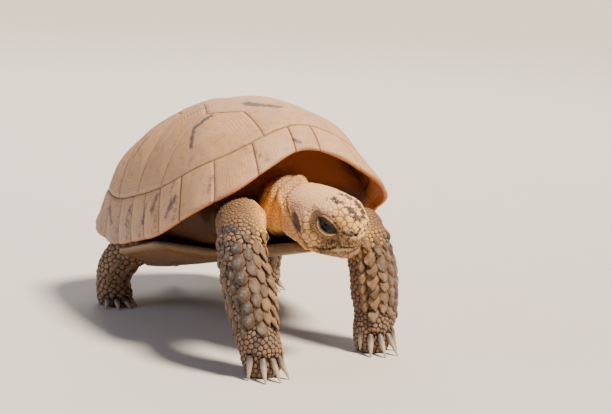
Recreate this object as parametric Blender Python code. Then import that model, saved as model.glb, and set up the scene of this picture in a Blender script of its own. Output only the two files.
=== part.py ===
"""Young spur-thighed tortoise, a still life-size model that stands on its four feet.

The shell is pitched nose-up because the forelegs are straight and the hind legs are bent. The head
is turned to the animal's left. +Z is up, the animal faces -Y and its right side is -X.
Everything is computed in millimetres and stored in metres.
"""

import math
from collections import namedtuple

import bmesh
import bpy
import numpy as np
from mathutils import Matrix, Vector

MM = 0.001
GAP = 0.3  # clearance between touching pieces
CUT_CLEARANCE = GAP + 0.1  # clearance where a limb or the neck is cut to the trunk or the belly plate

# Shell: plan outline is a superellipse, the dome is a superellipse of revolution over it.
SHELL_FRONT = 49.0
SHELL_REAR = 54.0
SHELL_SIDE = 37.8
SHELL_HEIGHT = 54.0
SHELL_SQUARENESS = 2.8
APEX_BACK = 8.4
SHELL_WALL = 2.3
RIM_WALLS = ((1.0, 1.1), (0.95, 1.8), (0.86, SHELL_WALL))  # the wall thins from here to the rim's lip
SHELL_PITCH = math.radians(15.0)
SHELL_LIFT = 21.0

# Rim height, outward flare and dome squareness at angles from the front (0) to the tail (180).
RIM_ANGLES = (0, 32, 62, 90, 118, 148, 180)
RIM_HEIGHTS = (31.5, 18.2, 9.8, 8.4, 9.1, 17.5, 14.0)
RIM_FLARES = (0.7, 5.6, 0.7, 0.0, 0.7, 3.5, 2.8)
DOME_SQUARENESS = (2.05, 2.05, 1.95, 1.9, 1.9, 1.85, 1.85)
FLARE_START = 0.72  # share of the way down from the top where the outward flare begins

# Scute plan on the unit disc: 1 is the rim, the front is at -1 along its second axis.
MARGINAL_RING = 0.77  # inner border of the marginal scutes
RING_STEP = 5  # degrees between points along the rings
MARGINAL_STEP = 15  # degrees covered by one marginal scute
NUCHAL_HALF = 5
TAIL_SCUTE_HALF = 10
VERTEBRAL_SEAMS = (-0.47, -0.15, 0.17, 0.49)
SEAM_HALF_WIDTHS = (0.155, 0.16, 0.16, 0.13)
CORNER_HALF_WIDTHS = (0.25, 0.27, 0.24)
VERTEBRAL_FRONT_ANGLE = 15
VERTEBRAL_REAR_ANGLE = 160
COSTAL_SEAM_ANGLES = (65, 90, 115)
SEAM_INSET = 0.8
SCUTE_RELIEF = 0.45
AREOLA_RELIEF = 1.1
SCALLOP = 0.55  # how far each marginal bulges past its seams
SCALLOP_DROP = 0.25  # how much lower the bulge ends, for each millimetre out

# Plastron: half width along its length, and the bridges that rise to the carapace.
PLASTRON_KEYS = (-46.5, -42, -36, -28, -16, 0, 22, 31, 39, 44.5, 48)
PLASTRON_HALF_WIDTHS = (6.0, 9.5, 13.0, 18.0, 22.0, 23.0, 20.5, 20.0, 17.5, 12.0, 6.5)
BRIDGE_FRONT = (-23.0, -11.0)
BRIDGE_REAR = (13.5, 24.0)
BELLY_SHARES = (0.0, 0.3, 0.52, 0.68, 0.84, 1.0)
PLASTRON_STATIONS = (
    *(-46.5, -43, -37, -29, -22, -19, -16, -13, -9),
    *(2, 12, 15, 18, 21, 25, 32, 39, 44, 48),
)
PLASTRON_WALL = 2.6
ANAL_NOTCH = 3.5
GULAR_NOTCH = 1.2

# Trunk: the flesh that fills the shell, set back behind the front and rear rims.
TRUNK_FRONT = -33.0
TRUNK_REAR = 40.0
TRUNK_CLEARANCE = 0.5

# Head, in its own axes: forward, to its left, up from the line of the mouth.
HEAD_ORIGIN = (-2.8, -38.7, 41.2)
HEAD_YAW = math.radians(27.0)
HEAD_PITCH = math.radians(14.0)
HEAD_ROLL = math.radians(12.0)
HEAD_STATIONS = (
    # forward, half width, top, bottom; in front of the cheeks the bottom is the edge of the beak
    (-1.5, 7.8, 12.8, -2.4),
    (1.5, 9.0, 14.5, -3.8),
    (5.0, 9.5, 15.2, -4.2),
    (8.9, 9.5, 15.7, -4.2),
    (9.0, 9.5, 15.7, 0.15),
    (11.5, 9.2, 15.8, 0.0),
    (14.0, 8.7, 15.7, -0.1),
    (16.5, 8.1, 15.5, 0.4),
    (19.0, 7.5, 14.9, 1.7),
    (21.5, 6.7, 13.7, 2.6),
    (23.0, 5.6, 12.5, 2.5),
    (24.2, 4.3, 11.1, 2.4),
    (24.9, 2.9, 9.4, 2.9),
)
# Swellings and hollows of the face: forward, left, up, reach, height.
FACE_RELIEF = (
    (15.5, 8.0, 12.6, 3.4, 0.9),  # brow over the eye
    (19.4, 4.4, 13.8, 2.8, 1.2),  # front end of the brow
    (15.4, 9.0, 7.6, 3.2, -0.7),  # socket round the eye
    (10.5, 9.6, 5.0, 3.2, 0.5),  # cheek shield behind the mouth
    (4.0, 9.6, 6.0, 3.0, -0.6),  # ear drum
    (9.0, 8.0, 12.0, 4.0, 0.4),  # temple
    (21.5, 7.0, 7.5, 2.6, -0.6),  # hollow between eye and nostril
    (24.2, 2.6, 9.6, 2.2, 0.3),  # nose
    (19.0, 7.6, 3.4, 2.6, 0.3),  # edge of the beak
)
JAW_STATIONS = (
    (9.4, 8.2, -0.15, -4.0),
    (11.5, 8.2, -0.3, -3.8),
    (14.0, 8.0, -0.4, -3.5),
    (16.5, 7.6, 0.1, -3.2),
    (19.0, 6.9, 1.4, -3.1),
    (21.5, 5.6, 2.3, -3.2),
    (22.8, 4.2, 2.1, -3.1),
    (23.7, 2.6, 1.5, -2.4),
)
HEAD_CHEEK_HEIGHT = 5.0
HEAD_SQUARENESS = (2.3, 2.2)  # of the upper and the lower half of a section behind the mouth
BEAK_SQUARENESS = (2.3, 4.5)
JAW_SQUARENESS = (4.5, 2.2)
MOUTH_CORNER = 8.95
SNOUT_START = 22.0
FACE_SIDES = 22
JAW_SIDES = 14
EYE_RADIUS = 3.6
EYE_CENTRE = (15.4, 4.9, 7.9)
NECK_RINGS = 8
NECK_START = (-0.15, -0.95, 0.2)
NECK_ACROSS = (1.0, 0.2, 0.0)
NECK_PATH = ((0.0, -22.0, 42.0, 9.6), (-1.2, -29.0, 44.6, 9.8), (-2.9, -35.2, 45.9, 10.2))

# Limbs: centre points from inside the trunk to the sole, each with its radius.
RIGHT_FORELEG = (
    (-17.0, -27.0, 39.5, 7.6),
    (-23.5, -42.0, 42.6, 7.8),
    (-27.2, -50.6, 33.5, 8.0),
    (-26.5, -55.3, 22.4, 8.1),
    (-25.9, -58.6, 11.9, 7.0),
)
LEFT_FORELEG = (
    (17.0, -26.0, 38.5, 7.6),
    (22.3, -37.6, 37.2, 7.8),
    (23.6, -43.2, 28.0, 8.0),
    (23.8, -45.6, 18.6, 8.1),
    (23.5, -47.4, 10.6, 7.0),
)
HIND_LEG = (
    (15.0, 27.0, 23.5, 7.2),
    (24.5, 30.5, 21.0, 7.0),
    (29.3, 34.0, 15.0, 6.5),
    (30.6, 35.6, 9.5, 6.2),
)
LEFT_HIND_SHIFT = 3.0  # the left hind foot stands this much nearer the tail
FORE_ELBOW = 0.36
FORE_WRIST = 0.95
HIND_KNEE = 0.58
HIND_ANKLE = 0.94
LIMB_SIDES = 12
BEND_REACH = 16  # hundredths of a limb over which its rings' tilt is evened out

# Feet: rings below the ankle (in towards the midline, forward, height, half width, half depth), and
# the claws' angles round the toes, lengths, root radius and height.
FootPlan = namedtuple("FootPlan", "rings claw_angles claw_lengths claw_radius claw_height")
FORE_FOOT = FootPlan(
    rings=((1.2, -1.2, 7.2, 7.3, 6.2), (1.6, -1.6, 3.0, 6.6, 5.6), (1.6, -1.2, 0.0, 5.2, 4.4)),
    claw_angles=(-60, -22, 8, 38, 70),
    claw_lengths=(7.8, 8.2, 8.2, 7.8, 6.2),
    claw_radius=1.45,
    claw_height=6.6,
)
HIND_FOOT = FootPlan(
    rings=((0.3, -0.6, 5.0, 6.4, 6.6), (0.4, -1.2, 2.2, 6.4, 6.8), (0.4, -1.2, 0.0, 5.4, 5.8)),
    claw_angles=(-48, -16, 16, 48),
    claw_lengths=(4.6, 5.2, 5.2, 4.6),
    claw_radius=1.4,
    claw_height=2.9,
)
CLAW_INSET = 0.8  # share of the toe's reach at which a claw's root lies
CLAW_SPREAD = 0.7  # how much of its angle round the toe a claw keeps in its own direction
CLAW_AHEAD = 0.3
SIDE_CLAW_ANGLE = 60
SIDE_CLAW_LIFT = 1.0
CLAW_TIP = 0.35
CLAW_TIP_HEIGHT = 0.12
CLAW_DROOP = 0.06
CLAW_SIDES = 6
SPUR_LENGTH = 3.2
SPUR_RADIUS = 1.3
SPUR_PLACE = (18.0, 6.6, 19.5)  # out from the midline, behind the thigh's root, height
SPUR_HEADING = (0.15, 0.9, -0.4)

TAIL_PATH = (
    (0.0, 36.0, 22.0, 5.0),
    (0.6, 45.0, 17.6, 4.3),
    (2.2, 53.0, 11.0, 3.2),
    (3.8, 56.6, 6.4, 1.6),
)

HORN_BROWN = (0.42, 0.27, 0.16)
BELLY_HORN = (0.46, 0.34, 0.18)
SKIN_TAN = (0.40, 0.26, 0.15)
SCALE_GREY = (0.25, 0.20, 0.16)
EYE_BLACK = (0.01, 0.008, 0.006)
CLAW_GREY = (0.42, 0.38, 0.33)


# ---------------------------------------------------------------- helpers


def clear_scene():
    """Removes every object that the file opened with."""
    for obj in list(bpy.data.objects):
        bpy.data.objects.remove(obj, do_unlink=True)


def material(name, colour, roughness):
    """A non-metallic surface with the given linear colour and roughness."""
    made = bpy.data.materials.new(name)
    made.use_nodes = True
    shader = made.node_tree.nodes["Principled BSDF"]
    shader.inputs["Base Color"].default_value = (*colour, 1.0)
    shader.inputs["Roughness"].default_value = roughness
    shader.inputs["Metallic"].default_value = 0.0
    return made


def curve_through(keys, values, x):
    """Smooth curve through the keys that is level at both ends."""
    keys = np.asarray(keys, float)
    values = np.asarray(values, float)
    outer_keys = np.concatenate([[2 * keys[0] - keys[1]], keys, [2 * keys[-1] - keys[-2]]])
    outer_values = np.concatenate([[values[1]], values, [values[-2]]])
    slopes = (outer_values[2:] - outer_values[:-2]) / (outer_keys[2:] - outer_keys[:-2])
    i = np.clip(np.searchsorted(keys, x, side="right") - 1, 0, len(keys) - 2)
    width = keys[i + 1] - keys[i]
    t = (x - keys[i]) / width
    start = values[i] * (1 + 2 * t) * (1 - t) ** 2 + width * slopes[i] * t * (1 - t) ** 2
    end = values[i + 1] * t * t * (3 - 2 * t) + width * slopes[i + 1] * t * t * (t - 1)
    return start + end


def path_through(points, count):
    """Catmull-Rom path through rows of numbers, with the parameter 0 to 1 along it."""
    rows = np.asarray(points, float)
    ends = np.vstack([2 * rows[0] - rows[1], rows, 2 * rows[-1] - rows[-2]])
    lengths = np.linalg.norm(np.diff(rows[:, :3], axis=0), axis=1)
    marks = np.concatenate([[0], np.cumsum(lengths)]) / lengths.sum()
    made = []
    for u in np.linspace(0, 1, count):
        i = min(int(np.searchsorted(marks, u, side="right")) - 1, len(rows) - 2)
        t = (u - marks[i]) / (marks[i + 1] - marks[i])
        a, b, c, d = ends[i : i + 4]
        bend = (2 * a - 5 * b + 4 * c - d) * t * t + (3 * b - a - 3 * c + d) * t**3
        made.append(0.5 * (2 * b + (c - a) * t + bend))
    return np.array(made)


def make_solid(name, points, faces, finish, parent, is_cutter=False):
    """One closed object from points in millimetres, with its faces turned outwards."""
    mesh = bpy.data.meshes.new(name)
    shape = bmesh.new()
    corners = [shape.verts.new(Vector(p) * MM) for p in points]
    for face in faces:
        shape.faces.new([corners[i] for i in face])
    bmesh.ops.triangulate(shape, faces=shape.faces[:])
    bmesh.ops.recalc_face_normals(shape, faces=shape.faces[:])
    shape.to_mesh(mesh)
    shape.free()
    mesh.shade_smooth()
    mesh.set_sharp_from_angle(angle=math.radians(50))
    mesh.materials.append(finish)
    made = bpy.data.objects.new(name, mesh)
    bpy.context.collection.objects.link(made)
    made.parent = parent
    if is_cutter:
        made.hide_render = True
        made.display_type = "WIRE"
    return made


def cut(target, cutter):
    """Takes the cutter's shape out of the target."""
    step = target.modifiers.new("cut_" + cutter.name, "BOOLEAN")
    step.operation = "DIFFERENCE"
    step.object = cutter
    step.solver = "EXACT"


def loft(rings):
    """Points and faces of a tube through rings of equal length, closed by a fan at each end."""
    sides = len(rings[0])
    points = [p for ring in rings for p in ring]
    faces = []
    for r in range(len(rings) - 1):
        for s in range(sides):
            n = (s + 1) % sides
            faces.append((r * sides + s, r * sides + n, (r + 1) * sides + n, (r + 1) * sides + s))
    for ring_start, ring in ((0, rings[0]), ((len(rings) - 1) * sides, rings[-1])):
        points.append(np.mean(np.asarray(ring, float), axis=0))
        hub = len(points) - 1
        faces += [(ring_start + s, ring_start + (s + 1) % sides, hub) for s in range(sides)]
    return points, faces


def round_ring(centre, along, across, wide, deep, sides=LIMB_SIDES):
    """An oval ring square to the direction along, whose wide axis follows across."""
    along = np.asarray(along, float) / np.linalg.norm(along)
    side = np.asarray(across, float) - np.dot(across, along) * along
    side /= np.linalg.norm(side)
    other = np.cross(along, side)
    angles = np.arange(sides) * 2 * math.pi / sides
    return [np.asarray(centre) + wide * math.cos(a) * side + deep * math.sin(a) * other for a in angles]


# ---------------------------------------------------------------- shell surface


def folded_angle(angle):
    """Degrees from the front, 0 to 180, with the side as a sign."""
    wrapped = (angle + 180) % 360 - 180
    return np.abs(wrapped), np.where(wrapped < 0, -1.0, 1.0)


def shell_point(tau, angle):
    """Carapace surface in the shell's axes: tau 0 at the top, 1 at the rim."""
    a, side = folded_angle(np.asarray(angle, float))
    turn = np.radians(a)
    reach = np.where(a < 90, SHELL_FRONT, SHELL_REAR)
    along = np.abs(np.cos(turn)) / reach
    across = np.abs(np.sin(turn)) / SHELL_SIDE
    radius = (along**SHELL_SQUARENESS + across**SHELL_SQUARENESS) ** (-1 / SHELL_SQUARENESS)
    rim = curve_through(RIM_ANGLES, RIM_HEIGHTS, a)
    power = 2 / curve_through(RIM_ANGLES, DOME_SQUARENESS, a)
    low = np.clip((tau - FLARE_START) / (1 - FLARE_START), 0, 1)
    out = np.sin(tau * math.pi / 2) ** power
    up = np.clip(np.cos(tau * math.pi / 2), 0, 1) ** power
    reach_here = radius * out + curve_through(RIM_ANGLES, RIM_FLARES, a) * low**2
    x = side * np.sin(turn) * reach_here
    y = -np.cos(turn) * reach_here + APEX_BACK * (1 - out)
    return np.stack([x, y, rim + (SHELL_HEIGHT - rim) * up], axis=-1)


def shell_normal(tau, angle):
    """Outward direction of the carapace surface."""
    step = 0.004
    inner = max(tau - step, 0.02)
    along = shell_point(tau, angle) - shell_point(inner, angle)
    around = shell_point(max(tau, 0.05), angle + 1.0) - shell_point(max(tau, 0.05), angle - 1.0)
    normal = np.cross(around, along)
    length = np.linalg.norm(normal)
    if length < 1e-9:
        return np.array((0.0, 0.0, 1.0))
    outward = np.dot(normal, shell_point(tau, angle) - (0, 0, 10)) > 0
    return normal / length * (1 if outward else -1)


def disc_to_shell(spot, raise_by=0.0):
    """Carapace point over a place on the unit disc, moved out by some millimetres."""
    tau = math.hypot(*spot)
    angle = math.degrees(math.atan2(spot[0], -spot[1])) if tau > 1e-6 else 0.0
    tau = min(tau, 1.0)
    return shell_point(tau, angle) + raise_by * shell_normal(max(tau, 0.02), angle)


def ring_spot(angle, tau=MARGINAL_RING):
    """Place on the unit disc at an angle from the front."""
    return (tau * math.sin(math.radians(angle)), -tau * math.cos(math.radians(angle)))


# ---------------------------------------------------------------- scute plan


def straight(start, end, parts):
    """Places from start up to, but without, end."""
    return [tuple(np.add(start, np.subtract(end, start) * i / parts)) for i in range(parts)]


def arc(first, last, tau=MARGINAL_RING):
    """Places along a ring from one angle up to, but without, another."""
    step = RING_STEP if last > first else -RING_STEP
    return [ring_spot(a, tau) for a in range(first, last, step)]


def vertebral_side(index, side):
    """Corners down one side of a vertebral scute, front to rear."""
    fronts = [ring_spot(VERTEBRAL_FRONT_ANGLE * side)]
    fronts += [(w * side, q) for w, q in zip(SEAM_HALF_WIDTHS, VERTEBRAL_SEAMS)]
    fronts.append(ring_spot(VERTEBRAL_REAR_ANGLE * side))
    corners = [fronts[index]]
    if 1 <= index <= 3:
        middle = (VERTEBRAL_SEAMS[index - 1] + VERTEBRAL_SEAMS[index]) / 2
        corners.append((CORNER_HALF_WIDTHS[index - 1] * side, middle))
    corners.append(fronts[index + 1])
    return corners


def chain(corners, parts):
    """Places along straight edges between corners, without the last corner."""
    spots = []
    for start, end in zip(corners[:-1], corners[1:]):
        spots += straight(start, end, parts)
    return spots


def side_parts(index):
    """Segments in each straight edge down a vertebral's side."""
    return 2 if 1 <= index <= 3 else 3


def vertebral_outline(index):
    """Closed loop of places round one of the five vertebral scutes."""
    left = vertebral_side(index, 1)
    right = vertebral_side(index, -1)
    loop = chain(left, side_parts(index))
    if index == 4:
        loop += arc(VERTEBRAL_REAR_ANGLE, 360 - VERTEBRAL_REAR_ANGLE)
    else:
        loop += straight(left[-1], right[-1], 3)
    loop += chain(right[::-1], side_parts(index))
    if index == 0:
        loop += arc(-VERTEBRAL_FRONT_ANGLE, VERTEBRAL_FRONT_ANGLE)
    else:
        loop += straight(right[0], left[0], 3)
    return loop


def costal_outline(index, side):
    """Closed loop of places round one of the four costal scutes of a side."""
    angles = (VERTEBRAL_FRONT_ANGLE, *COSTAL_SEAM_ANGLES, VERTEBRAL_REAR_ANGLE)
    loop = arc(angles[index] * side, angles[index + 1] * side)
    if index < 3:
        corner = vertebral_side(index + 1, side)[1]
        loop += straight(ring_spot(angles[index + 1] * side), corner, 4)
        loop += straight(corner, vertebral_side(index + 1, side)[0], 2)
    else:
        loop += chain(vertebral_side(4, side)[::-1], 3)
    if index == 0:
        loop += chain(vertebral_side(0, side)[::-1], 3)
    else:
        upper = vertebral_side(index, side)
        loop += straight(upper[2], upper[1], 2)
        loop += straight(upper[1], ring_spot(angles[index] * side), 4)
    return loop


def marginal_outline(first, last):
    """Closed loop of places round one scute of the rim."""
    loop = arc(first, last, 1.0)
    loop += straight(ring_spot(last, 1.0), ring_spot(last), 2)
    loop += arc(last, first)
    loop += straight(ring_spot(first), ring_spot(first, 1.0), 2)
    return loop


def marginal_spans():
    """First and last angle of every scute of the rim, once round."""
    spans = [(-NUCHAL_HALF, NUCHAL_HALF)]
    first = NUCHAL_HALF
    while first < 180 - TAIL_SCUTE_HALF:
        spans += [(first, first + MARGINAL_STEP), (-first - MARGINAL_STEP, -first)]
        first += MARGINAL_STEP
    spans.append((180 - TAIL_SCUTE_HALF, 180 + TAIL_SCUTE_HALF))
    return spans


class Welder:
    """Collects points and hands out one index for each place."""

    def __init__(self):
        self.points = []
        self.index = {}

    def add(self, key, point):
        if key not in self.index:
            self.index[key] = len(self.points)
            self.points.append(np.asarray(point, float))
        return self.index[key]


def rim_scallop(spot):
    """How far the rim stands out at a place on it, least at the seams."""
    angle = abs((math.degrees(math.atan2(spot[0], -spot[1])) + 180) % 360 - 180)
    phase = (angle - NUCHAL_HALF) / MARGINAL_STEP % 1.0
    if NUCHAL_HALF < angle < 180 - TAIL_SCUTE_HALF:
        return SCALLOP * math.sin(math.pi * phase)
    return SCALLOP / 2


def surface_vertex(welder, spot, raise_by=0.0):
    """Index of the outer surface's point over a place on the disc."""
    key = ("outer", round(spot[0], 5), round(spot[1], 5), round(raise_by, 3))
    point = disc_to_shell(spot, raise_by)
    if math.hypot(*spot) > 0.999:
        point = point + rim_scallop(spot) * np.array((spot[0], spot[1], -SCALLOP_DROP))
    return welder.add(key, point)


def add_scute(welder, faces, outline, areola, levels):
    """Rings from the seam up to the areola; each level is a share of the way in and a height."""
    size = np.mean([np.linalg.norm(disc_to_shell(s) - disc_to_shell(areola)) for s in outline])
    rings = [[surface_vertex(welder, s) for s in outline]]
    for share, height in [(SEAM_INSET / size, SCUTE_RELIEF), *levels]:
        spots = [tuple(np.add(s, np.subtract(areola, s) * share)) for s in outline]
        rings.append([surface_vertex(welder, s, height) for s in spots])
    for outer, inner in zip(rings[:-1], rings[1:]):
        for i in range(len(outline)):
            n = (i + 1) % len(outline)
            faces.append((outer[i], outer[n], inner[n], inner[i]))
    hub = surface_vertex(welder, areola, levels[-1][1])
    faces += [(rings[-1][i], rings[-1][(i + 1) % len(outline)], hub) for i in range(len(outline))]


def wall_ring(welder, tau, angles, depth):
    """Indices of points under the carapace's surface, once round."""
    places = [shell_point(tau, a) - depth * shell_normal(tau, a) for a in angles]
    return [welder.add(("wall", tau, a), place) for a, place in zip(angles, places)]


def add_inner_wall(welder, faces):
    """The underside of the carapace, from the rim's lip to the top of the hollow."""
    angles = list(range(0, 360, RING_STEP))
    rim = [surface_vertex(welder, ring_spot(a if a <= 180 else a - 360, 1.0)) for a in angles]
    rings = [rim]
    for tau, wall in RIM_WALLS:
        rings.append(wall_ring(welder, tau, angles, wall))
    for outer, inner in zip(rings[:-1], rings[1:]):
        for i in range(len(angles)):
            n = (i + 1) % len(angles)
            faces.append((outer[i], outer[n], inner[n], inner[i]))
    coarse = angles[::3]
    previous = rings[-1]
    rows = [wall_ring(welder, tau, coarse, SHELL_WALL) for tau in (0.7, 0.45, 0.2)]
    for i in range(len(coarse)):
        n = (i + 1) % len(coarse)
        fine = [previous[(3 * i + k) % len(angles)] for k in range(4)]
        faces.append((fine[0], fine[1], rows[0][i]))
        faces.append((fine[1], fine[2], rows[0][n], rows[0][i]))
        faces.append((fine[2], fine[3], rows[0][n]))
    for outer, inner in zip(rows[:-1], rows[1:]):
        for i in range(len(coarse)):
            n = (i + 1) % len(coarse)
            faces.append((outer[i], outer[n], inner[n], inner[i]))
    hub = welder.add("crown", disc_to_shell((0.0, 0.0), -SHELL_WALL))
    faces += [(rows[-1][i], rows[-1][(i + 1) % len(coarse)], hub) for i in range(len(coarse))]


def build_carapace(finish, parent):
    """The domed upper shell: 5 vertebral, 8 costal and 24 rim scutes on one thin wall."""
    welder = Welder()
    faces = []
    large = [(0.28, SCUTE_RELIEF + 0.2), (0.55, SCUTE_RELIEF + 0.4), (0.8, AREOLA_RELIEF)]
    seams = (-0.75, *VERTEBRAL_SEAMS, 0.73)
    for index in range(5):
        middle = (seams[index] + seams[index + 1]) / 2
        add_scute(welder, faces, vertebral_outline(index), (0.0, middle), large[1:])
    for side in (1, -1):
        for index in range(4):
            outline = costal_outline(index, side)
            areola = tuple(np.mean(outline, axis=0) * (0.9, 1.0))
            add_scute(welder, faces, outline, areola, large)
    for first, last in marginal_spans():
        outline = marginal_outline(first, last)
        areola = ring_spot((first + last) / 2, 0.9)
        add_scute(welder, faces, outline, areola, [(0.6, SCUTE_RELIEF + 0.25)])
    add_inner_wall(welder, faces)
    return make_solid("carapace", welder.points, faces, finish, parent)


# ---------------------------------------------------------------- plastron


def rim_half_width(y):
    """Half width of the carapace rim level with y, and the rim's height there."""
    angles = np.linspace(20, 160, 281)
    rim = shell_point(1.0, angles)
    i = int(np.argmin(np.abs(rim[:, 1] - y)))
    return rim[i, 0], rim[i, 2]


def smooth_step(x, start, end):
    """0 before start, 1 after end, and a smooth rise between them."""
    t = min(max((x - start) / (end - start), 0.0), 1.0)
    return t * t * (3 - 2 * t)


def plastron_section(y, grow):
    """Right half of a ring across the plastron: out along its belly, then back along its top."""
    lobe = float(curve_through(PLASTRON_KEYS, PLASTRON_HALF_WIDTHS, y))
    rim_width, rim_height = rim_half_width(y)
    bridge = smooth_step(y, *BRIDGE_FRONT) * (1 - smooth_step(y, *BRIDGE_REAR))
    half_width = lobe + (rim_width - lobe) * bridge
    rise = 1.0 + (rim_height - GAP - PLASTRON_WALL - 1.0) * bridge
    bottom = []
    for share in BELLY_SHARES:
        bottom.append((share * half_width, rise * max(0.0, (share - 0.5) / 0.5) ** 1.5))
    bottom[-1] = (half_width + grow, bottom[-1][1])
    belly = [(x, z - grow) for x, z in bottom]
    top = [(x, z + PLASTRON_WALL + grow) for x, z in bottom[::-1]]
    return belly + top


def plastron_rings(grow=0.0):
    """Rings from the gular end to the tail end; the end rings are notched on the midline."""
    rings = []
    last = len(PLASTRON_STATIONS) - 1
    for i, y in enumerate(PLASTRON_STATIONS):
        right = plastron_section(y, grow)
        left = [(-x, z) for x, z in right[::-1] if x > 1e-6]
        width = max(x for x, _ in right)
        ring = []
        for x, z in right + left:
            pull = 0.0
            if i == 0:
                pull = GULAR_NOTCH * (1 - abs(x) / width) ** 2 - grow
            if i == last:
                pull = -ANAL_NOTCH * (1 - abs(x) / width) ** 2 + grow
            ring.append((x, y + pull, z))
        rings.append(ring)
    return rings


def build_plastron(finish, parent):
    """The belly plate, with bridges that rise to the carapace between the legs."""
    points, faces = loft(plastron_rings())
    return make_solid("plastron", points, faces, finish, parent)


# ---------------------------------------------------------------- trunk


def build_trunk(name, finish, parent, grow=0.0, is_cutter=False):
    """The flesh inside the shell, flat where it backs away from the front and rear rims."""
    sides = 24
    inset = SHELL_WALL + TRUNK_CLEARANCE - grow
    front = TRUNK_FRONT - grow
    rear = TRUNK_REAR + grow
    floor = PLASTRON_WALL + TRUNK_CLEARANCE - grow
    rings = []
    for tau in (0.2, 0.45, 0.7, 0.86, 0.94):
        ring = []
        for k in range(sides):
            angle = k * 360 / sides
            spot = shell_point(tau, angle) - inset * shell_normal(tau, angle)
            spot[1] = min(max(spot[1], front), rear)
            ring.append(spot)
        rings.append(ring)
    for share, drop in ((0.93, 0.25), (0.66, 0.8), (0.35, 1.0)):
        ring = []
        for base in rings[4][:sides]:
            low = base[2] + (floor - base[2]) * drop
            ring.append(np.array((base[0] * share, base[1] * (0.3 + 0.7 * share), low)))
        rings.append(ring)
    points, faces = loft(rings)
    return make_solid(name, points, faces, finish, parent, is_cutter)


# ---------------------------------------------------------------- head


def head_matrix():
    """Placement of the head: turned left, nose down and tilted, in millimetres."""
    turn = Matrix.Rotation(HEAD_YAW, 3, "Z") @ Matrix.Rotation(HEAD_PITCH, 3, "X")
    return turn @ Matrix.Rotation(-HEAD_ROLL, 3, "Y")


def face_ring(forward, half_width, top, bottom, cheek, squareness, sides=FACE_SIDES):
    """Section of the head in its own axes: x to its left, y backwards, z up."""
    ring = []
    for k in range(sides):
        a = 2 * math.pi * (k + 0.5) / sides
        c, s = math.cos(a), math.sin(a)
        power = 2 / (squareness[0] if s > 0 else squareness[1])
        x = half_width * math.copysign(abs(c) ** power, c)
        reach = top - cheek if s > 0 else cheek - bottom
        z = cheek + math.copysign(abs(s) ** power, s) * reach
        ring.append(Vector((x, -forward, z)))
    return ring


def face_relief(point):
    """Moves a point of the head out or in with the swellings and hollows near it."""
    moved = Vector(point)
    side = math.copysign(1.0, point.x)
    for forward, left, up, reach, height in FACE_RELIEF:
        away = (point - Vector((side * left, -forward, up))).length
        push = Vector((side * left, -max(forward - 14.0, 0.0), up - HEAD_CHEEK_HEIGHT)).normalized()
        moved += push * height * math.exp(-((away / reach) ** 2))
    return moved


def place_in_head(point):
    """A point of the head's own axes in the standing animal's axes."""
    return head_matrix() @ Vector(point) + Vector(HEAD_ORIGIN)


def build_head(finish, parent):
    """Skull, cheeks and upper beak, hollowed for the eyes."""
    rings = []
    for forward, half_width, top, bottom in HEAD_STATIONS:
        cheek = HEAD_CHEEK_HEIGHT if forward < SNOUT_START else (top + bottom) / 2
        squareness = HEAD_SQUARENESS if forward < MOUTH_CORNER else BEAK_SQUARENESS
        ring = face_ring(forward, half_width, top, bottom, cheek, squareness)
        if forward > 0:
            ring = [face_relief(p) for p in ring]
        rings.append([place_in_head(p) for p in ring])
    points, faces = loft(rings)
    return make_solid("head", points, faces, finish, parent)


def build_jaw(finish, parent):
    """Lower jaw, whose top follows the edge of the beak."""
    rings = []
    for forward, half_width, top, bottom in JAW_STATIONS:
        widest = (top + bottom) / 2 + 0.4
        ring = face_ring(forward, half_width, top, bottom, widest, JAW_SQUARENESS, JAW_SIDES)
        rings.append([place_in_head(p) for p in ring])
    points, faces = loft(rings)
    return make_solid("lower_jaw", points, faces, finish, parent)


def build_eye(name, side, radius, finish, parent, is_cutter=False):
    """Eyeball, or with a larger radius its socket."""
    mesh = bpy.data.meshes.new(name)
    shape = bmesh.new()
    bmesh.ops.create_icosphere(shape, subdivisions=2, radius=radius * MM)
    shape.to_mesh(mesh)
    shape.free()
    mesh.shade_smooth()
    mesh.materials.append(finish)
    made = bpy.data.objects.new(name, mesh)
    bpy.context.collection.objects.link(made)
    forward, left, up = EYE_CENTRE
    made.location = place_in_head((side * left, -forward, up)) * MM
    made.parent = parent
    if is_cutter:
        made.hide_render = True
        made.display_type = "WIRE"
    return made


def build_neck(finish, parent):
    """Neck from inside the trunk to the back of the head, ending parallel to the head's first ring."""
    forward, half_width, top, bottom = HEAD_STATIONS[0]
    ring = face_ring(forward - GAP, half_width, top, bottom, HEAD_CHEEK_HEIGHT, HEAD_SQUARENESS)
    last = [np.array(place_in_head(p)) for p in ring]
    heading = np.array(head_matrix() @ Vector((0, -1, 0)))
    hub = np.mean(last, axis=0)
    path = path_through([*NECK_PATH, (*hub, 8.0)], NECK_RINGS)
    rings = []
    for i in range(NECK_RINGS - 1):
        turned = i / (NECK_RINGS - 1)
        along = (1 - turned) * np.array(NECK_START) + turned * heading
        radius = path[i, 3]
        rings.append(round_ring(path[i, :3], along, NECK_ACROSS, radius, radius, FACE_SIDES))
    rings.append(last)
    aligned = [rings[-1]]
    for ring in rings[-2::-1]:
        aligned.insert(0, match_start(ring, aligned[0]))
    points, faces = loft(aligned)
    return make_solid("neck", points, faces, finish, parent)


def match_start(ring, model):
    """The ring, turned and if needed reversed so that its points face the model's."""
    best = None
    for order in (1, -1):
        for shift in range(len(ring)):
            tried = [ring[(shift + order * k) % len(ring)] for k in range(len(ring))]
            spread = sum(np.linalg.norm(np.subtract(a, b)) for a, b in zip(tried, model))
            if best is None or spread < best[0]:
                best = (spread, tried)
    return best[1]


# ---------------------------------------------------------------- limbs


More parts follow.
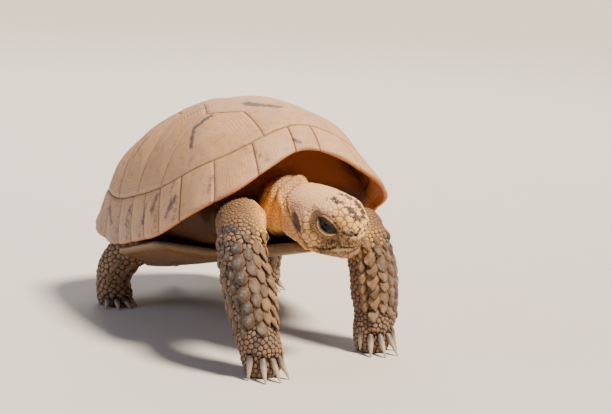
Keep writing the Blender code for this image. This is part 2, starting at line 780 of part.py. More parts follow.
def limb_rings(points, first, last, count):
    """Rings square to the limb's path between two shares of its length."""
    path = path_through(points, 101)
    rings = []
    for u in np.linspace(first, last, count):
        i = u * 100
        low = min(int(i), 99)
        here = path[low] + (path[low + 1] - path[low]) * (i - low)
        ahead = path[min(low + BEND_REACH, 100)] - path[max(low - BEND_REACH, 0)]
        rings.append(round_ring(here[:3], ahead[:3], (1, 0, 0), here[3], here[3]))
    return rings


def beyond_gap(rings):
    """The last ring again, moved on square to itself by the gap between pieces."""
    last = np.asarray(rings[-1])
    square = np.cross(last[0] - last.mean(axis=0), last[len(last) // 4] - last.mean(axis=0))
    square /= np.linalg.norm(square)
    if np.dot(square, last.mean(axis=0) - np.mean(rings[-2], axis=0)) < 0:
        square = -square
    return list(last + square * GAP)


def foot_rings(top_ring, ankle, offsets):
    """Rings from the wrist or ankle down to the level sole."""
    rings = [top_ring]
    outward = math.copysign(1.0, ankle[0])
    for dx, dy, height, wide, deep in offsets:
        centre = (ankle[0] - outward * dx, ankle[1] + dy, height)
        ring = round_ring(centre, (0, 0, -1), (1, 0, 0), wide, deep)
        rings.append(match_start(ring, rings[-1]))
    return rings


def build_limb(names, points, joints, offsets, finishes, parent):
    """A limb in three pieces: upper, lower and foot, parted by thin gaps."""
    upper_rings = limb_rings(points, 0.0, joints[0], 6)
    upper_points, upper_faces = loft(upper_rings)
    upper = make_solid(names[0], upper_points, upper_faces, finishes[0], parent)
    lower_rings = [beyond_gap(upper_rings), *limb_rings(points, joints[0], joints[1], 7)[1:]]
    lower_points, lower_faces = loft(lower_rings)
    lower = make_solid(names[1], lower_points, lower_faces, finishes[1], parent)
    sole_rings = foot_rings(limb_rings(points, joints[1], 1.0, 2)[1], points[-1], offsets)
    foot_points, foot_faces = loft([beyond_gap(lower_rings), *sole_rings])
    foot = make_solid(names[2], foot_points, foot_faces, finishes[2], parent)
    return upper, lower, foot


def build_claw(name, root, heading, length, radius, finish, parent, is_cutter=False):
    """A horn cone that curves down towards its blunt tip, which may rest on the floor."""
    heading = np.asarray(heading, float) / np.linalg.norm(heading)
    across = np.cross(heading, (0, 0, 1))
    rings = []
    for share in (0.0, 0.5, 1.0):
        centre = np.asarray(root) + heading * length * share
        centre[2] -= CLAW_DROOP * length * share * share
        thick = radius + (CLAW_TIP - radius) * share**1.3
        ring = round_ring(centre, heading, across, thick, thick * 0.85, CLAW_SIDES)
        rings.append([np.array((p[0], p[1], max(p[2], 0.0))) for p in ring])
    points, faces = loft(rings)
    return make_solid(name, points, faces, finish, parent, is_cutter)


def set_in(target, name, spot, heading, length, radius, finish, parent):
    """A horn cone at a spot, and a slightly larger hole for it in the target."""
    build_claw(name, spot, heading, length, radius, finish, parent)
    deeper = np.subtract(spot, np.multiply(heading, GAP * 2))
    room = (length + 3 * GAP, radius + GAP)
    cut(target, build_claw("socket_" + name, deeper, heading, *room, finish, parent, True))


def build_claws(foot, ankle, plan, finish, parent):
    """The claws of one foot, each set into a hole of its own in the toe."""
    outward = math.copysign(1.0, ankle[0])
    dx, dy, _, wide, deep = plan.rings[0]
    hub = np.array((ankle[0] - outward * dx, ankle[1] + dy, 0.0))
    for number, (angle, length) in enumerate(zip(plan.claw_angles, plan.claw_lengths), 1):
        turn = math.radians(angle)
        ahead = np.array((math.sin(turn) * -outward, -math.cos(turn), 0.0))
        root = hub + ahead * np.array((wide, deep, 0)) * CLAW_INSET
        root[2] = plan.claw_height
        if abs(angle) >= SIDE_CLAW_ANGLE:
            root[2] += SIDE_CLAW_LIFT
        slope = (CLAW_TIP_HEIGHT - root[2]) / length
        level = math.sqrt(max(1 - slope * slope, 0.04))
        lean = ahead * CLAW_SPREAD - np.array((0, CLAW_AHEAD, 0))
        heading = lean / np.linalg.norm(lean) * level
        heading[2] = slope
        name = f"{foot.name.replace('foot', 'claw')}_{number}"
        set_in(foot, name, root, heading, length, plan.claw_radius, finish, parent)


def build_forelegs(finishes, claw_finish, cutters, parent):
    """Both forelegs: upper arm, forearm and foot, with five claws each."""
    for side, points in (("right", RIGHT_FORELEG), ("left", LEFT_FORELEG)):
        names = [f"{part}_{side}" for part in ("upper_arm", "forearm", "fore_foot")]
        joints = (FORE_ELBOW, FORE_WRIST)
        upper, _, foot = build_limb(names, points, joints, FORE_FOOT.rings, finishes, parent)
        for cutter in cutters:
            cut(upper, cutter)
        build_claws(foot, points[-1], FORE_FOOT, claw_finish, parent)


def hind_points(side):
    """Centre points of one hind leg; the left one stands a little further back."""
    sign = 1 if side == "left" else -1
    shift = LEFT_HIND_SHIFT if side == "left" else 0.0
    shares = np.linspace(0, 1, len(HIND_LEG))
    return [(sign * x, y + shift * share, z, r) for share, (x, y, z, r) in zip(shares, HIND_LEG)]


def build_hind_legs(finishes, claw_finish, cutters, parent):
    """Both hind legs: thigh with its spur, shank and foot, with four claws each."""
    for side in ("right", "left"):
        points = hind_points(side)
        names = [f"{part}_{side}" for part in ("thigh", "shank", "hind_foot")]
        joints = (HIND_KNEE, HIND_ANKLE)
        upper, lower, foot = build_limb(names, points, joints, HIND_FOOT.rings, finishes, parent)
        for cutter in cutters:
            cut(upper, cutter)
        cut(lower, cutters[0])
        build_claws(foot, points[-1], HIND_FOOT, claw_finish, parent)
        out = np.array((math.copysign(1.0, points[0][0]), 1.0, 1.0))
        spot = out * SPUR_PLACE + (0.0, points[0][1], 0.0)
        heading = out * SPUR_HEADING
        set_in(upper, f"thigh_spur_{side}", spot, heading, SPUR_LENGTH, SPUR_RADIUS, claw_finish, parent)


def build_tail(finish, cutters, parent):
    """Short tapering tail that hangs below the rear rim."""
    points, faces = loft(limb_rings(TAIL_PATH, 0.0, 1.0, 7))
    tail = make_solid("tail", points, faces, finish, parent)
    for cutter in cutters:
        cut(tail, cutter)


# ---------------------------------------------------------------- whole animal


def empty(name):
    """A bare frame that carries other objects."""
    made = bpy.data.objects.new(name, None)
    bpy.context.collection.objects.link(made)
    return made


def centre_on_base(root):
    """Moves the whole animal so that the middle of its box stands on the origin."""
    bpy.context.view_layer.update()
    graph = bpy.context.evaluated_depsgraph_get()
    corners = []
    for obj in bpy.context.scene.objects:
        if obj.type == "MESH" and not obj.hide_render:
            shown = obj.evaluated_get(graph)
            mesh = shown.to_mesh()
            corners += [tuple(shown.matrix_world @ v.co) for v in mesh.vertices]
            shown.to_mesh_clear()
    low = np.min(corners, axis=0)
    high = np.max(corners, axis=0)
    root.location = (-(low[0] + high[0]) / 2, -(low[1] + high[1]) / 2, -low[2])


def main():
    """Builds every node of the tortoise."""
    clear_scene()
    shell_horn = material("shell_horn", HORN_BROWN, 0.55)
    belly_horn = material("belly_horn", BELLY_HORN, 0.5)
    skin = material("skin", SKIN_TAN, 0.7)
    scales = material("leg_scales", SCALE_GREY, 0.6)
    eye = material("eye", EYE_BLACK, 0.05)
    claw = material("claw_horn", CLAW_GREY, 0.45)

    root = empty("tortoise")
    shell = empty("shell_frame")
    shell.parent = root
    shell.location = (0, 0, SHELL_LIFT * MM)
    shell.rotation_euler = (-SHELL_PITCH, 0, 0)

    build_carapace(shell_horn, shell)
    build_plastron(belly_horn, shell)
    build_trunk("trunk", skin, shell)
    trunk_cutter = build_trunk("cutter_trunk", skin, shell, CUT_CLEARANCE, True)
    points, faces = loft(plastron_rings(CUT_CLEARANCE))
    plastron_cutter = make_solid("cutter_plastron", points, faces, skin, shell, True)
    cutters = (trunk_cutter, plastron_cutter)

    head = build_head(skin, root)
    build_jaw(skin, root)
    for side, sign in (("left", 1), ("right", -1)):
        build_eye(f"eye_{side}", sign, EYE_RADIUS, eye, root)
        cut(head, build_eye(f"socket_eye_{side}", sign, EYE_RADIUS + GAP, eye, root, True))
    cut(build_neck(skin, root), trunk_cutter)
    build_forelegs((skin, scales, scales), claw, cutters, root)
    build_hind_legs((skin, scales, scales), claw, cutters, root)
    build_tail(skin, cutters, root)
    centre_on_base(root)


main()
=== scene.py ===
"""Dressed model of a young spur-thighed tortoise, standing nose-up on its four feet.

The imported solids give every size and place. The shell's plates are modelled one by one over the same
dome, one hide covers all the flesh, and the scales of the head, neck, legs and tail lie on that hide.
Shapes are worked out in millimetres, in the axes that the solids were designed in, and stored in metres.
"""

import logging
import math
from dataclasses import dataclass, field
from enum import Enum
from typing import Iterable, Sequence

import bmesh
import bpy
import numpy as np
from mathutils import Matrix, Vector, noise
from mathutils.bvhtree import BVHTree
from mathutils.kdtree import KDTree

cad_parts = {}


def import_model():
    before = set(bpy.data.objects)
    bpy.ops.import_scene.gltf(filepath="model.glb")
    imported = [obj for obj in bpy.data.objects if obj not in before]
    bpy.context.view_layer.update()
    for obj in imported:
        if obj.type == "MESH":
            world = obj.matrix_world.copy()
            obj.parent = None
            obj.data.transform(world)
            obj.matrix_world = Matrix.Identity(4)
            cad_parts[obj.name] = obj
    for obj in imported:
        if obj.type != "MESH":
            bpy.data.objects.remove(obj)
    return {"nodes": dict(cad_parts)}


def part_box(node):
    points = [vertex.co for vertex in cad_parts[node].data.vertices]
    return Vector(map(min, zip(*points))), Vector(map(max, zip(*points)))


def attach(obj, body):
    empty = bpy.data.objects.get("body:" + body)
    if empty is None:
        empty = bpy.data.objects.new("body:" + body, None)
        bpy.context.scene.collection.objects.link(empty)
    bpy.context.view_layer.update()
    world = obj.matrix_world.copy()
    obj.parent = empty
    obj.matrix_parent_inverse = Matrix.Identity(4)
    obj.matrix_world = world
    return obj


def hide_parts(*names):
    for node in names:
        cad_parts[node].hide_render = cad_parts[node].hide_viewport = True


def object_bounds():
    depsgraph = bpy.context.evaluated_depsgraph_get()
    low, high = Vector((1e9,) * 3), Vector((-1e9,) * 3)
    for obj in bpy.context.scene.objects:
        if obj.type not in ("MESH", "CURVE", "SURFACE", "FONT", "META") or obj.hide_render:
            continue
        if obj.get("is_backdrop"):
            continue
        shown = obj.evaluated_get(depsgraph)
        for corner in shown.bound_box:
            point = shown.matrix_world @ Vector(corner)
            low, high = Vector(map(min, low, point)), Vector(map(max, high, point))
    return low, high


LOG = logging.getLogger("tortoise")
MM = 0.001
BODY = "root"
WELD_DISTANCE = 1e-6
TINY = 1e-12

Array = np.ndarray
Fields = dict[str, Array]
Faces = Iterable[Sequence[int]]
Socket = bpy.types.NodeSocket
Draw = np.random.Generator
Piece = bpy.types.Object
Finish = bpy.types.Material


# ---------------------------------------------------------------- numbers and curves


def smooth(x: Array, start: float, end: float) -> Array:
    """Smooth rise from 0 at start to 1 at end, also for an end below the start."""
    t = np.clip((np.asarray(x, float) - start) / (end - start), 0.0, 1.0)
    return t * t * (3 - 2 * t)


def bell(x: Array, width: float) -> Array:
    """Gaussian bump of height 1 at 0."""
    return np.exp(-np.square(np.asarray(x, float) / width))


def curve_through(keys: Sequence[float], values: Sequence[float], x: Array) -> Array:
    """Smooth curve through the keys, level at both ends.

    Args:
        keys: places of the known values, rising.
        values: the values there.
        x: places asked for.

    Returns:
        One value for each place in x.
    """
    keys = np.asarray(keys, float)
    values = np.asarray(values, float)
    outer_keys = np.concatenate([[2 * keys[0] - keys[1]], keys, [2 * keys[-1] - keys[-2]]])
    outer_values = np.concatenate([[values[1]], values, [values[-2]]])
    slopes = (outer_values[2:] - outer_values[:-2]) / (outer_keys[2:] - outer_keys[:-2])
    i = np.clip(np.searchsorted(keys, x, side="right") - 1, 0, len(keys) - 2)
    width = keys[i + 1] - keys[i]
    t = (x - keys[i]) / width
    start = values[i] * (1 + 2 * t) * (1 - t) ** 2 + width * slopes[i] * t * (1 - t) ** 2
    end = values[i + 1] * t * t * (3 - 2 * t) + width * slopes[i + 1] * t * t * (t - 1)
    return start + end


def unit(rows: Array) -> Array:
    """Rows scaled to length 1."""
    rows = np.asarray(rows, float)
    return rows / np.maximum(np.linalg.norm(rows, axis=-1, keepdims=True), TINY)


def nearest(points: Array, targets: Array, batch: int = 4000) -> tuple[Array, Array]:
    """The nearest target of each point.

    Args:
        points: rows of x, y, z.
        targets: rows of x, y, z.
        batch: how many points are measured at a time, to save memory.

    Returns:
        The target's number and its distance, for each point.
    """
    index, away = np.zeros(len(points), int), np.zeros(len(points))
    for start in range(0, len(points), batch):
        part = slice(start, start + batch)
        distance = np.linalg.norm(points[part, None] - targets[None], axis=2)
        index[part], away[part] = distance.argmin(axis=1), distance.min(axis=1)
    return index, away


def noise_at(points: Array, period: float, seed: float = 0.0, octaves: int = 1) -> Array:
    """Smooth noise from about -1 to 1 at each point.

    Args:
        points: rows of x, y, z in millimetres.
        period: size of the largest lumps in millimetres.
        seed: shifts the pattern.
        octaves: how many finer layers are added, each half as strong.

    Returns:
        One value for each point.
    """
    total = np.zeros(len(points))
    for octave in range(octaves):
        scaled = points * (2**octave / period) + seed + 7.3 * octave
        total += np.array([noise.noise(p) for p in scaled.tolist()]) * 0.5**octave
    return total


# ---------------------------------------------------------------- meshes


def linked(name: str, data: bpy.types.ID) -> Piece:
    """Adds an object to the scene.

    Args:
        name: its name.
        data: its mesh, camera or light.

    Returns:
        The object.
    """
    made = bpy.data.objects.new(name, data)
    bpy.context.scene.collection.objects.link(made)
    return made


def mesh_piece(name: str, points: Array, faces: Faces, fields: Fields | None = None) -> Piece:
    """Makes a smooth-shaded piece.

    Args:
        name: the piece's name.
        points: its vertices in millimetres.
        faces: vertex indices of each face, seen from outside anticlockwise.
        fields: named values kept on the vertices for the finish to read.

    Returns:
        The new object, riding on the body.
    """
    mesh = bpy.data.meshes.new(name)
    mesh.from_pydata((np.asarray(points) * MM).tolist(), [], [list(f) for f in faces])
    mesh.shade_smooth()
    piece = linked(name, mesh)
    add_fields(piece, fields or {})
    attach(piece, BODY)
    return piece


def add_fields(piece: Piece, fields: Fields) -> None:
    """Stores named values on a piece's vertices.

    Args:
        piece: the piece.
        fields: a value for each vertex, by name.
    """
    for name, values in fields.items():
        layer = piece.data.attributes.new(name, "FLOAT", "POINT")
        layer.data.foreach_set("value", np.asarray(values, np.float32))


def face_outwards(piece: Piece) -> None:
    """Turns all faces of a closed piece to point out.

    Args:
        piece: the piece.
    """
    shape = bmesh.new()
    shape.from_mesh(piece.data)
    bmesh.ops.recalc_face_normals(shape, faces=shape.faces[:])
    shape.to_mesh(piece.data)
    shape.free()


def welded(node: Piece) -> bmesh.types.BMesh:
    """A solid's faces joined where their corners meet.

    Args:
        node: the solid.

    Returns:
        Its shape, to be worked on.
    """
    shape = bmesh.new()
    shape.from_mesh(node.data)
    bmesh.ops.remove_doubles(shape, verts=shape.verts[:], dist=WELD_DISTANCE)
    return shape


def stored(shape: bmesh.types.BMesh, name: str) -> bpy.types.Mesh:
    """Ends the work on a shape and keeps it as a mesh.

    Args:
        shape: the shape, which is freed.
        name: the mesh's name.

    Returns:
        The mesh.
    """
    mesh = bpy.data.meshes.new(name)
    shape.to_mesh(mesh)
    shape.free()
    return mesh


def modified(piece: Piece, kind: str, **settings: float | str) -> None:
    """Runs one modifier on a piece and keeps what it makes.

    Args:
        piece: the piece, whose mesh is replaced.
        kind: the modifier's Blender type.
        settings: its properties.
    """
    step = piece.modifiers.new(kind.lower(), kind)
    for name, value in settings.items():
        setattr(step, name, value)
    graph = bpy.context.evaluated_depsgraph_get()
    made = bpy.data.meshes.new_from_object(piece.evaluated_get(graph))
    piece.modifiers.clear()
    piece.data = made


def plate_between(outer: Array, inner: Array) -> tuple[Array, list[list[int]]]:
    """Closed plate between two grids of points of the same size.

    Args:
        outer: rows by columns by 3.
        inner: the same grid on the plate's other side.

    Returns:
        Points and faces.
    """
    rows, columns = outer.shape[:2]
    count = rows * columns
    grid = np.arange(count).reshape(rows, columns)
    top = np.stack([grid[:-1, :-1], grid[:-1, 1:], grid[1:, 1:], grid[1:, :-1]], axis=-1).reshape(-1, 4)
    border = np.concatenate([grid[0], grid[1:, -1], grid[-1, -2::-1], grid[-2:0:-1, 0]])
    following = np.roll(border, -1)
    rim = np.stack([following, border, count + border, count + following], axis=1)
    points = np.concatenate([outer.reshape(-1, 3), inner.reshape(-1, 3)])
    return points, np.concatenate([top, count + top[:, ::-1], rim]).tolist()


def closed_rings(rings: int, count: int) -> list[tuple[int, ...]]:
    """Faces of a closed form: point 0 at its top, rings of points below it, and one point at the bottom.

    Args:
        rings: how many rings.
        count: points in each.

    Returns:
        Point numbers of each face.
    """
    faces = []
    bottom = 1 + rings * count
    for i in range(count):
        j = (i + 1) % count
        faces.append((0, 1 + i, 1 + j))
        for ring in range(1, bottom - count, count):
            faces.append((ring + i, ring + count + i, ring + count + j, ring + j))
        faces.append((bottom - count + i, bottom, bottom - count + j))
    return faces


def numbered_from(start: int, faces: Faces) -> list[tuple[int, ...]]:
    """The same faces for points that are numbered from start."""
    return [tuple(corner + start for corner in face) for face in faces]


def ring_turns(count: int) -> Array:
    """Angles in radians of that many points spread round a ring."""
    return np.arange(count) * 2 * math.pi / count


def clothe(piece: Piece, finish: Finish, slot: str, *nodes: str) -> Piece:
    """Gives a piece its finish and hides the solids that it stands for.

    Args:
        piece: the piece.
        finish: its only material.
        slot: not used.
        nodes: the solids, if it stands for any.

    Returns:
        The same piece.
    """
    piece.data.materials.clear()
    piece.data.materials.append(finish)
    if nodes:
        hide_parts(*nodes)
    return piece


# ---------------------------------------------------------------- finishes


def srgb(code: str) -> tuple[float, float, float, float]:
    """Linear colour of an sRGB hex code such as 'a07850'."""
    parts = [int(code[i : i + 2], 16) / 255 for i in (0, 2, 4)]
    return (*(c / 12.92 if c <= 0.04045 else ((c + 0.055) / 1.055) ** 2.4 for c in parts), 1.0)


def add_node(
    tree: bpy.types.NodeTree, kind: str, inputs: dict, output: int | str = 0, **settings: str | bool
) -> Socket:
    """Adds a node with its settings and what feeds it.

    Args:
        tree: where it goes.
        kind: its Blender type, after "ShaderNode".
        inputs: for each socket, by name or number, a constant, a hex colour or another node's output.
        output: the output wanted, by name or number.
        settings: the node's own properties.

    Returns:
        The output socket.
    """
    node = tree.nodes.new("ShaderNode" + kind)
    for name, value in settings.items():
        setattr(node, name, value)
    for socket, given in inputs.items():
        if isinstance(given, Socket):
            tree.links.new(given, node.inputs[socket])
        else:
            node.inputs[socket].default_value = srgb(given) if isinstance(given, str) else given
    return node.outputs[output]


@dataclass(frozen=True)
class Pattern:
    """A pattern that fills space: noise, or the distance to the borders between cells.

    Attributes:
        period: size of its lumps or cells in millimetres.
        detail: how many finer layers the noise has.
        roughness: how strong the finer layers are.
        stretch: factors on the three axes, for streaks.
        cells: whether it is made of cells.
    """

    period: float
    detail: float = 3.0
    roughness: float = 0.55
    stretch: tuple = ()
    cells: bool = False


@dataclass(frozen=True)
class Cue:
    """A value over the surface, as it is or with low..high stretched to start..end and held there.

    Attributes:
        source: name of a pattern or of a field on the vertices, or another node's output.
        low: the source's value that gives start, or None to take the source as it is.
        high: the source's value that gives end.
        start: result at low.
        end: result at high.
    """

    source: str | Socket
    low: float | None = None
    high: float = 1.0
    start: float = 0.0
    end: float = 1.0


Value = Cue | Socket | float
Colour = Socket | str


class Surface:
    """A material under construction: a base colour, and colours laid over it one by one."""

    def __init__(self, name: str, base: str, patterns: dict[str, Pattern]) -> None:
        """Starts a material.

        Args:
            name: the material's name.
            base: hex code of the lowest colour.
            patterns: the patterns that its layers read, by name.
        """
        self.made = bpy.data.materials.new(name)
        self.made.use_nodes = True
        self.tree = self.made.node_tree
        self.colour: Colour = base
        self.patterns: dict[str, Socket] = {}
        place = add_node(self.tree, "TexCoord", {}, "Object")
        for key, pattern in patterns.items():
            spot = place
            if pattern.stretch:
                spot = add_node(self.tree, "Mapping", {"Vector": place, "Scale": pattern.stretch})
            inputs = {"Vector": spot, "Scale": 1.0 / (pattern.period * MM)}
            if pattern.cells:
                made = add_node(self.tree, "TexVoronoi", inputs, "Distance", feature="DISTANCE_TO_EDGE")
            else:
                inputs |= {"Detail": pattern.detail, "Roughness": pattern.roughness}
                made = add_node(self.tree, "TexNoise", inputs)
            self.patterns[key] = made

    def value(self, given: Value) -> Socket | float:
        """The socket that a cue stands for; a number or a socket stays as it is.

        Args:
            given: what a layer reads.

        Returns:
            The socket or number.
        """
        if not isinstance(given, Cue):
            return given
        source = given.source
        if isinstance(source, str) and source in self.patterns:
            source = self.patterns[source]
        elif isinstance(source, str):
            source = add_node(self.tree, "Attribute", {}, "Fac", attribute_name=source)
        if given.low is None:
            return source
        inputs = {"Value": source, "From Min": given.low, "From Max": given.high,
                  "To Min": given.start, "To Max": given.end}
        return add_node(self.tree, "MapRange", inputs, clamp=True)

    def combined(self, operation: str, *values: Value) -> Socket | float:
        """Cues, sockets or numbers joined from the left by one operation, such as MULTIPLY.

        Args:
            operation: the operation's Blender name.
            values: what it joins.

        Returns:
            The result's socket.
        """
        made, *others = [self.value(given) for given in values]
        for other in others:
            made = add_node(self.tree, "Math", {0: made, 1: other}, operation=operation)
        return made

    def wave(self, source: Value, period: float) -> Socket:
        """Sine of a value that repeats with that period."""
        turned = self.combined("MULTIPLY", source, 2 * math.pi / period)
        return add_node(self.tree, "Math", {0: turned}, operation="SINE")

    def blend(self, under: Colour, over: Colour, *cover: Value) -> Socket:
        """One colour over another, where the product of cover is 1."""
        inputs = {"Factor": self.combined("MULTIPLY", *cover), 6: under, 7: over}
        return add_node(self.tree, "Mix", inputs, 2, data_type="RGBA")

    def lay(self, over: Colour, *cover: Value) -> None:
        """Lays a colour over those before it, where the product of cover is 1."""
        self.colour = self.blend(self.colour, over, *cover)

    def finish(self, roughness: Cue, *bumps: tuple, **constants: float) -> Finish:
        """Links the layers to the shader.

        Args:
            roughness: the shader's roughness.
            bumps: pairs of a value and its height in millimetres, coarse first.
            constants: other values of the shader, with _ for a blank in the socket's name.

        Returns:
            The material.
        """
        shader = self.tree.nodes["Principled BSDF"]
        for name, value in constants.items():
            shader.inputs[name.replace("_", " ")].default_value = value
        self.tree.links.new(self.colour, shader.inputs["Base Color"])
        self.tree.links.new(self.value(roughness), shader.inputs["Roughness"])
        normal = {}
        for height, depth in bumps:
            inputs = {"Height": self.value(height), "Strength": 1.0, "Distance": depth * MM}
            normal = {"Normal": add_node(self.tree, "Bump", inputs | normal)}
        for socket, source in normal.items():
            self.tree.links.new(source, shader.inputs[socket])
        return self.made


@dataclass(frozen=True)
class ShellHorn:
    """Keratin scutes of the upper shell, grown in layers, rubbed matt and dusted with dry earth.

    The eye sees warm pinkish tan with faint growth lines, blue-black wedges at some seams and a soft,
    broad sheen where the dust has been rubbed off. Grey painted shade lies low down towards the rear, and an
    orange painted glow of light through the thin rim lies on the rim's underside.
    """

    tan: str = "b48565"
    warm: str = "bd8f5e"
    # grey: painted shade low down towards the rear, and the fine grey specks
    grey: str = "978a7c"
    mark: str = "34353f"
    seam: str = "6b4a32"
    pale: str = "c79f7c"
    # under: painted glow, the orange of light through the thin rim on its underside
    under: str = "b25e0c"
    ring_spacing: float = 1.15

    def build(self) -> Finish:
        """Makes the material, with dust as specks of 0.28 mm, the finest that still show.

        Returns:
            The material.
        """
        patterns = {
            "broad": Pattern(9.0), "wander": Pattern(3.5, 2.0),
            "mottle": Pattern(2.2, 4.0, 0.65), "ragged": Pattern(1.4, 4.0, 0.7),
            "fine": Pattern(0.7, 5.0, 0.65), "speck": Pattern(0.28, 2.0, 0.6),
        }
        s = Surface("shell_keratin_dusted", self.tan, patterns)
        s.lay(self.warm, Cue("broad", 0.35, 0.65))
        s.lay(self.pale, Cue("tone", 0.0, 1.0, 0.0, 0.5))
        # painted shade: grey low down towards the rear
        s.lay(self.grey, Cue("grey"))
        s.lay(self.pale, Cue("mottle", 0.52, 0.72, 0.0, 0.45))
        s.lay(self.seam, Cue("mottle", 0.46, 0.28, 0.0, 0.4))
        s.lay(self.pale, Cue("areola"), Cue("fine", 0.3, 0.7, 0.2, 0.7))
        edge = s.combined("ADD", Cue("edge"), Cue("wander", 0.0, 1.0, -0.5, 0.5))
        growth = Cue(s.wave(edge, self.ring_spacing), 0.55, 1.0)
        rings = s.combined("MULTIPLY", growth, Cue("broad", 0.3, 0.7, 0.15, 0.75))
        s.lay(self.seam, rings, 0.32)
        mark = s.combined("ADD", Cue("mark"), Cue("ragged", 0.3, 0.7, -0.38, 0.3))
        mark = s.combined("MULTIPLY", mark, Cue("under", 0.0, 0.5, 1.0, 0.0))
        s.lay(self.mark, Cue(mark, 0.25, 0.7, 0.0, 0.82))
        s.lay(self.seam, Cue("edge", 0.7, 0.05), Cue("fine", 0.25, 0.6, 0.15, 0.55))
        s.lay(self.grey, Cue("fine", 0.62, 0.8, 0.0, 0.35))
        s.lay(self.seam, Cue("speck", 0.6, 0.78, 0.0, 0.3))
        # painted glow: orange light through the thin rim, on the rim's underside
        s.lay(self.under, Cue("under"))
        bumps = ((Cue("mottle"), 0.12), (rings, 0.07), (Cue("fine"), 0.12), (Cue("speck"), 0.04))
        return s.finish(Cue("fine", 0.2, 0.8, 0.5, 0.72), *bumps, IOR=1.54, Specular_IOR_Level=0.4)


@dataclass(frozen=True)
class ShellBone:
    """Bone and dry membrane inside the shell, dark brown where little light comes in."""

    light: str = "a45c12"
    dark: str = "7a3f0c"

    def build(self) -> Finish:
        """Makes the material.

        Returns:
            The material.
        """
        s = Surface("shell_bone_lining", self.dark, {"broad": Pattern(4.0, 4.0)})
        s.lay(self.light, Cue("broad", 0.35, 0.65))
        return s.finish(Cue("broad", 0.3, 0.7, 0.6, 0.8), (Cue("broad"), 0.2), IOR=1.5)


@dataclass(frozen=True)
class BellyHorn:
    """Keratin of the belly plate, worn smooth by the ground: brown horn with dark blotches, the brown partly
    its own colour and partly painted shade.
    """

    # light: base horn, partly its own colour and partly painted shade
    light: str = "6d4f2c"
    dark: str = "261d15"
    seam: str = "4a331d"

    def build(self) -> Finish:
        """Makes the material.

        Returns:
            The material.
        """
        patterns = {"fine": Pattern(0.8, 5.0, 0.6), "cloud": Pattern(4.0, 4.0),
                    "scratch": Pattern(0.5, 3.0, 0.5, (1.0, 0.12, 1.0))}
        s = Surface("belly_keratin_worn", self.light, patterns)
        s.lay(self.seam, Cue("fine", 0.3, 0.7, 0.0, 0.5))
        s.lay(self.dark, Cue("mark"), Cue("cloud", 0.4, 0.6))
        s.lay(self.seam, Cue("edge", 0.7, 0.05, 0.0, 0.8))
        bumps = ((Cue("fine"), 0.06), (Cue("scratch"), 0.03))
        return s.finish(Cue("scratch", 0.3, 0.7, 0.4, 0.6), *bumps, IOR=1.54, Specular_IOR_Level=0.45)


# ---------------------------------------------------------------- frame


@dataclass(frozen=True)
class Frame:
    """Places the design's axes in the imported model's frame.

    The head's own axes are x to its left, y backwards and z up from the line of the mouth. The shell's
    axes have the belly plate level, and are then pitched nose-up.
    """

    head_origin: tuple = (-2.8, -38.7, 41.2)
    head_yaw: float = 27.0
    head_pitch: float = 14.0
    head_roll: float = 12.0
    eye_centre: tuple = (15.4, 4.9, 7.9)
    eye_radius: float = 3.6
    shell_pitch: float = 15.0
    shell_lift: float = 21.0

    def head_turn(self) -> Array:
        """Rotation from the head's axes to the animal's.

        Returns:
            The 3 x 3 rotation.
        """
        turn = Matrix.Rotation(math.radians(self.head_yaw), 3, "Z")
        turn = turn @ Matrix.Rotation(math.radians(self.head_pitch), 3, "X")
        return np.array(turn @ Matrix.Rotation(math.radians(-self.head_roll), 3, "Y"))

    def shell_turn(self) -> Array:
        """Rotation from the shell's axes to the animal's."""
        return np.array(Matrix.Rotation(math.radians(-self.shell_pitch), 3, "X"))

    def shift(self) -> Array:
        """Finds the design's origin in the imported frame, from the left eye's solid.

        Returns:
            The origin's place in millimetres.
        """
        low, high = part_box("eye_left")
        forward, left, up = self.eye_centre
        designed = self.head_turn() @ np.array((left, -forward, up)) + np.array(self.head_origin)
        return np.array((low + high) / 2) / MM - designed

    def from_head(self, rows: Array) -> Array:
        """World points of places on the head.

        Args:
            rows: forward, left and up from the head's origin.

        Returns:
            World points.
        """
        rows = np.atleast_2d(rows)
        local = np.stack([rows[:, 1], -rows[:, 0], rows[:, 2]], axis=1)
        return local @ self.head_turn().T + np.array(self.head_origin) + self.shift()

    def to_head(self, points: Array) -> Array:
        """Forward, left and up of world points, from the head's origin."""
        local = (points - np.array(self.head_origin) - self.shift()) @ self.head_turn()
        return np.stack([-local[:, 1], local[:, 0], local[:, 2]], axis=1)

    def from_shell(self, points: Array) -> Array:
        """World points of points in the shell's axes."""
        return points @ self.shell_turn().T + np.array((0, 0, self.shell_lift)) + self.shift()

    def to_shell(self, points: Array) -> Array:
        """Points in the shell's axes of world points."""
        return (points - np.array((0, 0, self.shell_lift)) - self.shift()) @ self.shell_turn()


# ---------------------------------------------------------------- upper shell


